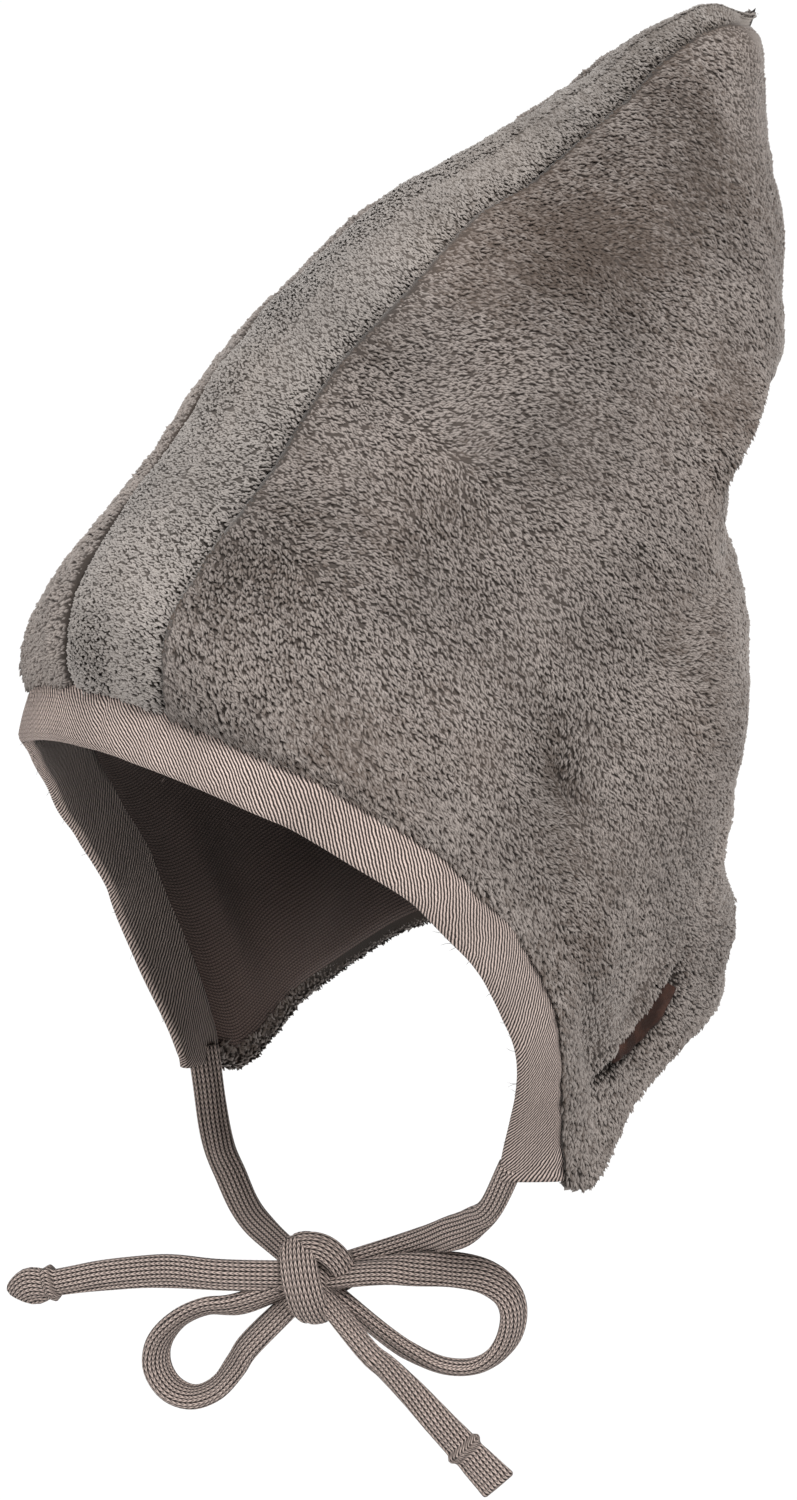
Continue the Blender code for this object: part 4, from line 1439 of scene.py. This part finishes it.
@dataclass
class FaceBand:
    """The jersey binding folded round the face opening, with its puckered feet and loose fibres."""

    width: float = 0.014
    flare: float = 0.1
    hold: float = 0.5
    lean: float = 0.4
    spread: tuple[float, float] = (0.30, -0.25)
    tuck: float = 0.4
    sink: float = 0.0005
    gather: float = 0.02
    foot_run: float = 0.009
    foot_rise: float = 0.0045
    nose: float = 0.0022
    leg_end: float = 0.84
    hollow: float = 0.0006
    lip: float = 0.0018
    belly: float = 0.0003
    pucker: float = 0.00028
    pucker_step: float = 0.0085
    fold_corner: int = 12
    inner_from: int = 15
    # Painted shade on the binding's inner leg, lessening towards the feet, and painted light on its outer leg
    # by the brow
    inner_dim: tuple[float, float] = (0.72, -0.40)
    brow_glow: float = 0.28
    steps: int = 130
    hairs: int = 70
    hair_girths: tuple[float, ...] = (0.00006, 0.00005, 0.00004, 0.00001)
    finish: KnitFinish = KnitFinish(
        weave=Weave.TWILL,
        slant=-1.0,
        wale=0.00105,
        course=0.00105,
        row_share=0.85,
        wale_share=0.25,
    )

    def frames(self, downs: Array) -> tuple[Array, Array, Array]:
        """Along one side's face edge: the edge, the way into the wall and the fold's way forward."""
        edge = PLUSH.points(0.0, downs)
        inward = unit(HoodLayer(depth=CUT.wall).points(0.0, downs) - edge)
        along = unit(np.gradient(edge, axis=0))
        along[0] = (1, 0, 0)
        forward = edge - PLUSH.points(0.03, downs)
        forward -= (forward * along).sum(-1, keepdims=True) * along
        forward = unit(forward - self.hold * (forward * inward).sum(-1, keepdims=True) * inward)
        forward[:, 1] -= self.lean * (1 - ease(downs / 0.35))
        forward[:, 0] -= self.tuck * ease((downs - 0.8) / 0.2)
        forward[:, :2] += np.array(self.spread) * bump(downs - 0.35, 0.25)[:, None]
        forward = unit(forward)
        forward[0, 0] = inward[0, 0] = 0
        return edge, inward, forward

    def sections(self) -> tuple[Array, Array]:
        """The binding's sections on the wearer's left, from the forehead to the foot.

        Returns:
            The sections, and the lengths round each one.
        """
        downs = CUT.arch_shares(0.0, 0.0, None, self.steps)
        edge, inward, forward = self.frames(downs)
        length = run_length(edge, 0)
        width = self.width * (1 + self.flare * ease((downs - 0.86) / 0.14))
        near, far = self.sink, CUT.wall - self.sink / 2
        middle, half = (near + far) / 2, (far - near) / 2
        turn = np.linspace(math.pi / 2, -math.pi / 2, 11)[1:-1]
        outer, inner = np.linspace(-0.05, self.leg_end, 8), np.linspace(self.leg_end, -0.06, 8)
        lip = self.lip * bump(outer + 0.02, 0.10)
        reaches = [outer, 1 - self.nose / self.width * (1 - np.cos(turn)), inner]
        depths = [
            near - self.hollow * np.sin(math.pi * outer) + lip,
            middle - half * np.sin(turn),
            far + self.belly * np.sin(math.pi * inner),
        ]
        reach, deep = np.concatenate(reaches)[None], np.concatenate(depths)[None]
        pucker = self.pucker * np.sin(2 * math.pi * length / self.pucker_step + 1.5 * np.sin(length * 300))
        deep = deep + pucker[:, None] * bump(reach - 0.05, 0.25) * (deep < middle)
        points = edge[:, None] + (reach * width[:, None])[..., None] * forward[:, None]
        points += deep[..., None] * inward[:, None]
        tail = ease((length - length[-1] + self.foot_run) / self.foot_run)[:, None, None]
        foot = points[-1].mean(axis=0)
        points += self.gather * tail * (foot - points)
        rise = np.clip(reach, 0, 1)[..., None] * self.foot_rise
        points -= rise * tail * unit(points[-1] - points[-6]).mean(axis=0)
        return points, run_length(points, 1)

    def tie_starts(self, share: float) -> tuple[Array, Array]:
        """Where a tie leaves the foot, at a share of the way from its back to its front, and its course."""
        points, _ = self.sections()
        _, inward, forward = self.frames(np.linspace(0, 1, 3))
        back, front = points[-1][[0, -1]].mean(axis=0), points[-1][self.fold_corner]
        down = unit(np.cross(forward[-1], inward[-1]))
        down *= np.sign(down @ (points[-1] - points[-2]).mean(axis=0))
        return back + share * (front - back), down

    def build(self) -> None:
        """Builds the binding and the fibres that stand off its fold."""
        half, round_length = self.sections()
        points = np.concatenate([(half * (-1, 1, 1))[:0:-1], half])
        across = np.concatenate([round_length[:0:-1], round_length])
        rows, corners = points.shape[:2]
        along = np.broadcast_to(run_length(points, 0).mean(axis=1)[:, None], (rows, corners))
        material = self.finish.build("binding_jersey")
        obj = add_mesh("face_binding", CUT.placed(points), tube_faces(rows, corners, False), material)
        set_weave(obj, np.stack([across, along], axis=-1).reshape(-1, 2))
        foot = np.abs(np.linspace(-1, 1, rows))[:, None] ** 2
        # Painted shade on the inner leg, lessening towards the feet, and painted light on the outer leg by
        # the brow
        inner_leg = np.arange(corners) >= self.inner_from
        dim, foot_painted_shade_change = self.inner_dim
        painted_light = self.brow_glow * (1 - foot) ** 2
        set_number(obj, "shade", inner_leg * (dim + foot_painted_shade_change * foot) - ~inner_leg * painted_light)
        settle(obj, "binding_jersey", "face_band")
        self.add_hairs(CUT.placed(points), material)

    def add_hairs(self, points: Array, material: bpy.types.Material) -> None:
        """Adds the fine loose fibres along the fold.

        Args:
            points: The binding's sections.
            material: The fibres' finish.
        """
        draw = np.random.default_rng(51)
        fold = points[:, self.fold_corner]
        away = unit(fold - points[:, 4])
        angles = (0, 2.1, 4.2)
        tube = tube_faces(len(self.hair_girths), len(angles), False)
        verts, faces = [], []
        for row in draw.integers(8, len(points) - 8, self.hairs):
            course = unit(away[row] + 0.7 * draw.normal(size=3))
            side = unit(np.cross(course, draw.normal(size=3)))
            size = draw.uniform(0.0010, 0.0026)
            over = np.cross(course, side)
            ring = [math.cos(angle) * side + math.sin(angle) * over for angle in angles]
            faces += [[len(verts) + corner for corner in face] for face in tube]
            for share, girth in zip((-0.3, 0.4, 0.75, 1.0), self.hair_girths):
                spot = fold[row] + size * (share * course + 0.35 * share * share * side)
                verts += [spot + girth * corner for corner in ring]
        obj = add_mesh("binding_fibres", verts, faces, material)
        set_weave(obj, np.zeros((len(verts), 2)))
        settle(obj, "binding_jersey")


@dataclass
class SideLabel:
    """The plain leather tab, held in a fold of the left panel."""

    reach: float = 0.0046
    tucked: float = 0.0026
    thickness: float = 0.0009
    depth: float = 0.0012
    steps: int = 60
    across: int = 14
    finish: LeatherFinish = LeatherFinish()

    def build(self) -> None:
        """Builds the tab along the bottom of the fold, with its upper edge under the lip."""
        rows = smooth_line(np.array(LABEL), self.steps)
        centre, normal = PLUSH.points(rows[:, 0], rows[:, 1]), outward(rows[:, 0], rows[:, 1])
        side = unit(np.cross(normal, np.gradient(centre, axis=0)))
        along = np.linspace(0, 1, self.steps)
        shares = np.linspace(0, 1, self.across)
        far = self.reach * (1 - 0.5 * along) * (0.15 + 0.85 * np.sin(math.pi * (0.16 + 0.80 * along)) ** 0.7)
        aside = -self.tucked + shares[None] * (self.tucked + far[:, None])
        wrinkle = 0.00030 * np.sin(11 * along)[:, None] * np.sin(2.4 * shares)[None]
        wrinkle = wrinkle + 0.00022 * np.sin(29 * along + 1)[:, None] * shares[None]
        height = -self.depth + 0.0010 * shares[None] + wrinkle
        low = centre[:, None] + aside[..., None] * side[:, None] + height[..., None] * normal[:, None]
        high = low + self.thickness * normal[:, None]
        faces = shell_faces(self.steps, self.across, False)
        verts = CUT.placed(np.stack([high, low]))
        obj = add_mesh("leather_label", verts, faces, self.finish.build("label_leather"))
        settle(obj, "label_leather", "side_label")


@dataclass
class Bow:
    """The flat tubular strings, tied in a bow: two ties, two loops, two ends, a knot and two bound tips."""

    string_width: float = 0.0082
    string_thickness: float = 0.0040
    knot_back: float = 0.060
    knot_drop: float = 0.152
    turn: float = math.radians(32)
    knot_half: tuple[float, float, float] = (0.0095, 0.0085, 0.0115)
    tip_size: tuple[float, float, float] = (0.0128, 0.0096, 0.0054)
    tip_lumps: float = 0.10
    tie_start: float = 0.004
    tie_shares: tuple[float, float] = (0.78, 0.30)
    knot_off: float = -0.0004
    wrap_radii: tuple[float, float] = (0.0064, 0.0090)
    wrap_lean: float = -0.0022
    wrap_width: float = 0.0078
    wrap_swell: float = 0.0018
    wrap_slant: float = 0.22
    core_size: tuple[float, float, float] = (0.0070, 0.0100, 0.0150)
    corners: int = 30
    step: float = 0.0011
    finish: KnitFinish = KnitFinish(wale=0.00105, course=0.0013)
    material: bpy.types.Material | None = None

    def place(self, across: float, forward: float, up: float) -> Array:
        """A place given from the knot, in the forehead's frame."""
        x, y = math.cos(self.turn), math.sin(self.turn)
        right, back = across * x + forward * y, self.knot_back + across * y - forward * x
        return np.array((right, back, up - self.knot_drop))

    def bow_front(self) -> Array:
        """The course out of the bow's front."""
        return self.place(0, 1, 0) - self.place(0, 0, 0)

    def in_knot(self, name: str, share: float) -> Array:
        """A place in the knot at a share of the way to where the named string meets it."""
        ray = unit(np.array(KNOT_SIDES[name]))
        reach = 1 / np.linalg.norm(ray / np.array(self.knot_half))
        return self.place(*(ray * share * reach))

    def section(self, width: float, thickness: float) -> Array:
        """A flat tube's section: rounded edges and faces with a shallow groove along them."""
        angle = np.linspace(0, 2 * math.pi, self.corners, endpoint=False)
        x = np.sign(np.cos(angle)) * np.abs(np.cos(angle)) ** 0.75
        y = np.sign(np.sin(angle)) * np.abs(np.sin(angle)) ** 0.85
        y *= 1 - 0.24 * bump(np.abs(x) - 0.60, 0.14)
        return np.stack([x * width / 2, y * thickness / 2], axis=1)

    @staticmethod
    def swept(path: Array, section: Array, across: Array, wide: Array, out: Array, thick: Array) -> Array:
        """A section at each point of a path.

        Args:
            path: The path's points.
            section: The section's corners.
            across: The course of its width at each point.
            wide: How many times as wide it is, a row for each point.
            out: The course of its thickness at each point.
            thick: How many times as thick it is, a row for each point.

        Returns:
            The corners, a ring for each point of the path.
        """
        points = path[:, None] + (section[None, :, 0] * wide)[..., None] * across[:, None]
        return points + (section[None, :, 1] * thick)[..., None] * out[:, None]

    def frames(self, path: Array, roll: Array) -> tuple[Array, Array]:
        """The courses across and out of a string's flat side.

        Args:
            path: Its centre line.
            roll: The roll of its flat side at each point, in degrees.

        Returns:
            The two courses at each point.
        """
        ahead = unit(np.gradient(path, axis=0))
        across = unit(np.cross(ahead, self.bow_front()))
        out = np.cross(across, ahead)
        angle = np.radians(roll)[:, None]
        return np.cos(angle) * across + np.sin(angle) * out, np.cos(angle) * out - np.sin(angle) * across

    def tube(self, name: str, path: Array, roll: Array, widths: Array, seed: int) -> bpy.types.Object:
        """Builds a flat tube along a path.

        Args:
            name: The piece's name.
            path: Its centre line, in the forehead's frame.
            roll: The roll of its flat side.
            widths: Its width as a share of the string's.
            seed: Which random unevenness.

        Returns:
            The closed tube.
        """
        across, out = self.frames(path, roll)
        section = self.section(self.string_width, self.string_thickness)
        plump = 1 + 0.03 * ripples(path, 0.016, seed) + 0.35 * (1 - widths)
        wide = widths * (1 + 0.012 * ripples(path, 0.016, seed + 1))
        return self.skin(name, self.swept(path, section, across, wide[:, None], out, plump[:, None]))

    def skin(self, name: str, points: Array) -> bpy.types.Object:
        """Closes a run of sections into one mesh with its weave."""
        rows, corners = points.shape[:2]
        across = run_length(np.concatenate([points, points[:, :1]], axis=1), 1)
        along = np.broadcast_to(run_length(points.mean(axis=1), 0)[:, None], (rows, corners))
        obj = add_mesh(name, CUT.placed(points), tube_faces(rows, corners, True), self.material)
        set_weave(obj, np.stack([across[:, :-1], along], axis=-1).reshape(-1, 2))
        self.mend_seam(obj, corners, across[:, -1])
        return obj

    @staticmethod
    def mend_seam(obj: bpy.types.Object, corners: int, girths: Array) -> None:
        """Lets the weave run on where a tube's last column meets its first."""
        layer = obj.data.uv_layers["weave"]
        for face in obj.data.polygons:
            spots = [obj.data.loops[i].vertex_index for i in face.loop_indices]
            places = [spot % corners for spot in spots]
            if len(spots) == 4 and 0 in places and corners - 1 in places:
                for i, spot in zip(face.loop_indices, spots):
                    if spot % corners == 0:
                        layer.data[i].uv.x = girths[spot // corners]

    def string(self, name: str, rows: list, node: str) -> None:
        """Args:
            name: The piece's name.
            rows: Its route in the forehead's frame: right, back, up, roll and width.
            node: The node it stands for.
        """
        route = np.array(rows, float)
        length = np.linalg.norm(np.diff(smooth_line(route, 300)[:, :3], axis=0), axis=1).sum()
        line = smooth_line(route, round(length / self.step))
        obj = self.tube(name, line[:, :3], line[:, 3], line[:, 4], 61 + len(name))
        settle(obj, "tie_jersey", node)
        path = CUT.placed(line[:, :3])

    def bow_rows(self, table: tuple) -> list:
        """A bow table's rows in the forehead's frame."""
        return [(*self.place(*row[:3]), *row[3:]) for row in table]

    def build_ties(self, band: FaceBand) -> None:
        """Builds the ties from inside the feet of the binding into the knot."""
        for side, table, share in zip(Side, (TIE_LEFT, TIE_RIGHT), self.tie_shares):
            name = f"tie_{side.word}"
            foot, down = band.tie_starts(share)
            start = np.array((side.value, 1, 1)) * (foot - self.tie_start * down)
            rows = [(*start, *table[0][3:]), *table, (*self.in_knot(name, 0.4), 20, 0.7)]
            self.string(f"string_{name}", rows, name)

    def build_loops(self) -> None:
        """Builds the two loops, each from the knot and back into it."""
        for side, table in zip(Side, (LOOP_LEFT, LOOP_RIGHT)):
            name = f"loop_{side.word}"
            first = (*self.in_knot(f"{name}_upper", 0.35), table[0][3], 0.8)
            last = (*self.in_knot(f"{name}_lower", 0.35), table[-1][3], 0.8)
            self.string(f"string_{name}", [first, *self.bow_rows(table), last], f"bow_{name}")

    def build_ends(self) -> None:
        """Builds the free ends with their bound tips."""
        for side, table, tip in ((Side.LEFT, END_LEFT, CUFF_TIP), (Side.RIGHT, END_RIGHT, LEAF_TIP)):
            rows = [(*self.in_knot(f"end_{side.word}", 0.2), *table[0][3:]), *self.bow_rows(table)]
            self.string(f"string_end_{side.word}", rows, f"tie_end_{side.word}")
            self.build_tip(f"bound_tip_{side.word}", np.array(rows), tip, f"end_knot_{side.word}")

    def build_tip(self, name: str, rows: Array, table: tuple, node: str) -> None:
        """Builds a bound tip on a free end: a rolled ridge, then a leaf or a cuff.

        Args:
            name: The piece's name.
            rows: The free end's route.
            table: The tip's sections.
            node: The node it stands for.
        """
        line = smooth_line(rows, 60)
        ahead = unit(line[-1, :3] - line[-4, :3])
        shares = np.linspace(table[0][0], table[-1][0], 46)
        size, width, thickness = self.tip_size
        path = line[-1, :3] + (shares * size)[:, None] * ahead
        across, out = self.frames(path, np.full(len(path), line[-1, 3]))
        section = self.section(1.0, 1.0)
        wave = np.sin(7 * np.arctan2(section[:, 1], section[:, 0]))[None]
        lumps = 1 + self.tip_lumps * wave * bump(shares - 0.05, 0.08)[:, None]
        wide = width * column(table, shares, 1)[:, None] * lumps
        thick = thickness * column(table, shares, 2)[:, None] * lumps
        settle(self.skin(name, self.swept(path, section, across, wide, out, thick)), "tie_jersey", node)

    def build_knot(self) -> None:
        """Builds the knot: a wrap over the front, a second turn behind it and a core inside them."""
        turn = np.linspace(-math.pi * 0.98, math.pi * 0.98, 70)
        rise, lean = np.sin(turn), self.wrap_lean * np.sin(turn) + self.knot_off
        front, up = self.wrap_radii[0] * np.cos(turn), self.wrap_radii[1] * rise
        path = np.array([self.place(*spot) for spot in zip(lean, front, up)])
        side = unit(self.place(1, 0, self.wrap_slant) - self.place(0, 0, 0))
        out = unit(path - self.place(self.knot_off, 0, 0))
        across = unit(side - (side * out).sum(-1, keepdims=True) * out)
        wide = self.wrap_width + self.wrap_swell * np.maximum(np.cos(turn), 0)[:, None]
        section = self.section(1.0, 1.0)
        points = self.swept(path, section, across, wide, out, self.string_thickness)
        settle(self.skin("knot_wrap", points), "tie_jersey", "bow_knot")
        line = smooth_line(np.array(self.bow_rows(SECOND_TURN)), 40)
        settle(self.tube("knot_turn", line[:, :3], line[:, 3], line[:, 4], 81), "tie_jersey")
        spots = np.linspace(-1, 1, 15)
        reach, depth, height = self.core_size
        core = np.array([self.place(reach * spot, 0, 0) for spot in spots])
        upward = np.broadcast_to((0.0, 0.0, 1.0), core.shape)
        out = np.broadcast_to(self.bow_front(), core.shape)
        girth = np.sqrt(1.02 - spots**2)[:, None]
        points = self.swept(core, section, upward, height * girth, out, depth * girth)
        settle(self.skin("knot_core", points), "tie_jersey")

    def build(self, band: FaceBand) -> None:
        """Builds the whole bow.

        Args:
            band: The binding whose feet the ties leave.
        """
        self.material = self.finish.build("tie_jersey")
        self.build_ties(band)
        self.build_loops()
        self.build_ends()
        self.build_knot()


@dataclass
class Studio:
    """The pale floor, the soft lights and the camera at the photograph's angle."""

    azimuth: float = math.radians(49.5)
    elevation: float = math.radians(14.8)
    distance: float = 2.4
    scale: float = 4300.0
    long_side: float = 1500.0
    centre: tuple[float, float] = (398.5, 750.0)
    target: tuple[float, float, float] = (0.0, 0.080, 0.0)
    target_pixel: tuple[float, float] = (376.6, 639.0)
    floor: float = -0.90
    floor_half: float = 30.0
    world: float = 0.17
    sun: float = 3.2
    lights: tuple = (
        # name, azimuth, elevation, share of the sun, softness
        ("key", 74, 50, 1.00, 30),
        ("fill", -18, 28, 0.36, 50),
    )

    def axes(self, azimuth: float, elevation: float) -> tuple[Array, Array, Array]:
        """The courses right, up and out of a view from an angle, in radians."""
        right = np.array((math.cos(azimuth), math.sin(azimuth), 0.0))
        flat = math.cos(elevation)
        out = np.array((math.sin(azimuth) * flat, -math.cos(azimuth) * flat, math.sin(elevation)))
        return right, np.cross(out, right), out

    def add_camera(self) -> None:
        """Adds the camera, aimed so that the target shows at its pixel."""
        right, up, out = self.axes(self.azimuth, self.elevation)
        target = CUT.placed(self.target)
        eye = target + self.distance * out
        off_x = (self.centre[0] - self.target_pixel[0]) / self.scale
        off_y = (self.target_pixel[1] - self.centre[1]) / self.scale
        aim = target + off_x * right + off_y * up
        data = bpy.data.cameras.new("camera")
        data.lens = self.scale * self.distance / self.long_side * data.sensor_width
        camera = bpy.data.objects.new("camera", data)
        camera.location = eye
        camera.rotation_euler = Vector(aim - eye).to_track_quat("-Z", "Y").to_euler()
        bpy.context.scene.collection.objects.link(camera)
        bpy.context.scene.camera = camera

    def add_light(
        self, name: str, azimuth: float, elevation: float, strength: float, softness: float
    ) -> None:
        """Adds a soft light from an azimuth and an elevation, and of a softness, all in degrees."""
        _, _, out = self.axes(math.radians(azimuth), math.radians(elevation))
        data = bpy.data.lights.new(name, "SUN")
        data.energy = strength
        data.angle = math.radians(softness)
        light = bpy.data.objects.new(name, data)
        light.location = out
        light.rotation_euler = Vector(-out).to_track_quat("-Z", "Y").to_euler()
        bpy.context.scene.collection.objects.link(light)

    def add_floor(self) -> None:
        """Adds the pale floor under the bonnet."""
        graph = Graph("floor")
        graph.finish({"Base Color": (0.95, 0.95, 0.95), "Roughness": 0.9})
        half = self.floor_half
        corners = [(-half, -half), (half, -half), (half, half), (-half, half)]
        verts = [(x, y, self.floor) for x, y in corners]
        floor = add_mesh("floor", verts, [[0, 1, 2, 3]], graph.material)

    def build(self) -> None:
        """Builds the studio."""
        world = bpy.data.worlds.new("studio")
        world.use_nodes = True
        back = world.node_tree.nodes["Background"]
        back.inputs["Color"].default_value = (1, 1, 1, 1)
        back.inputs["Strength"].default_value = self.world
        bpy.context.scene.world = world
        self.add_camera()
        self.add_floor()
        for name, azimuth, elevation, share, softness in self.lights:
            self.add_light(name, azimuth, elevation, share * self.sun, softness)
        bpy.context.scene.view_settings.view_transform = "Standard"


def main() -> None:
    """Builds the studio and the bonnet."""
    logging.basicConfig(level=logging.INFO, format="%(name)s: %(message)s")
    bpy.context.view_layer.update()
    Studio().build()
    band = FaceBand()
    Bow().build(band)
    band.build()
    SideLabel().build()
    PlushPanels().build()
    Lining().build()


if __name__ == "__main__":
    main()
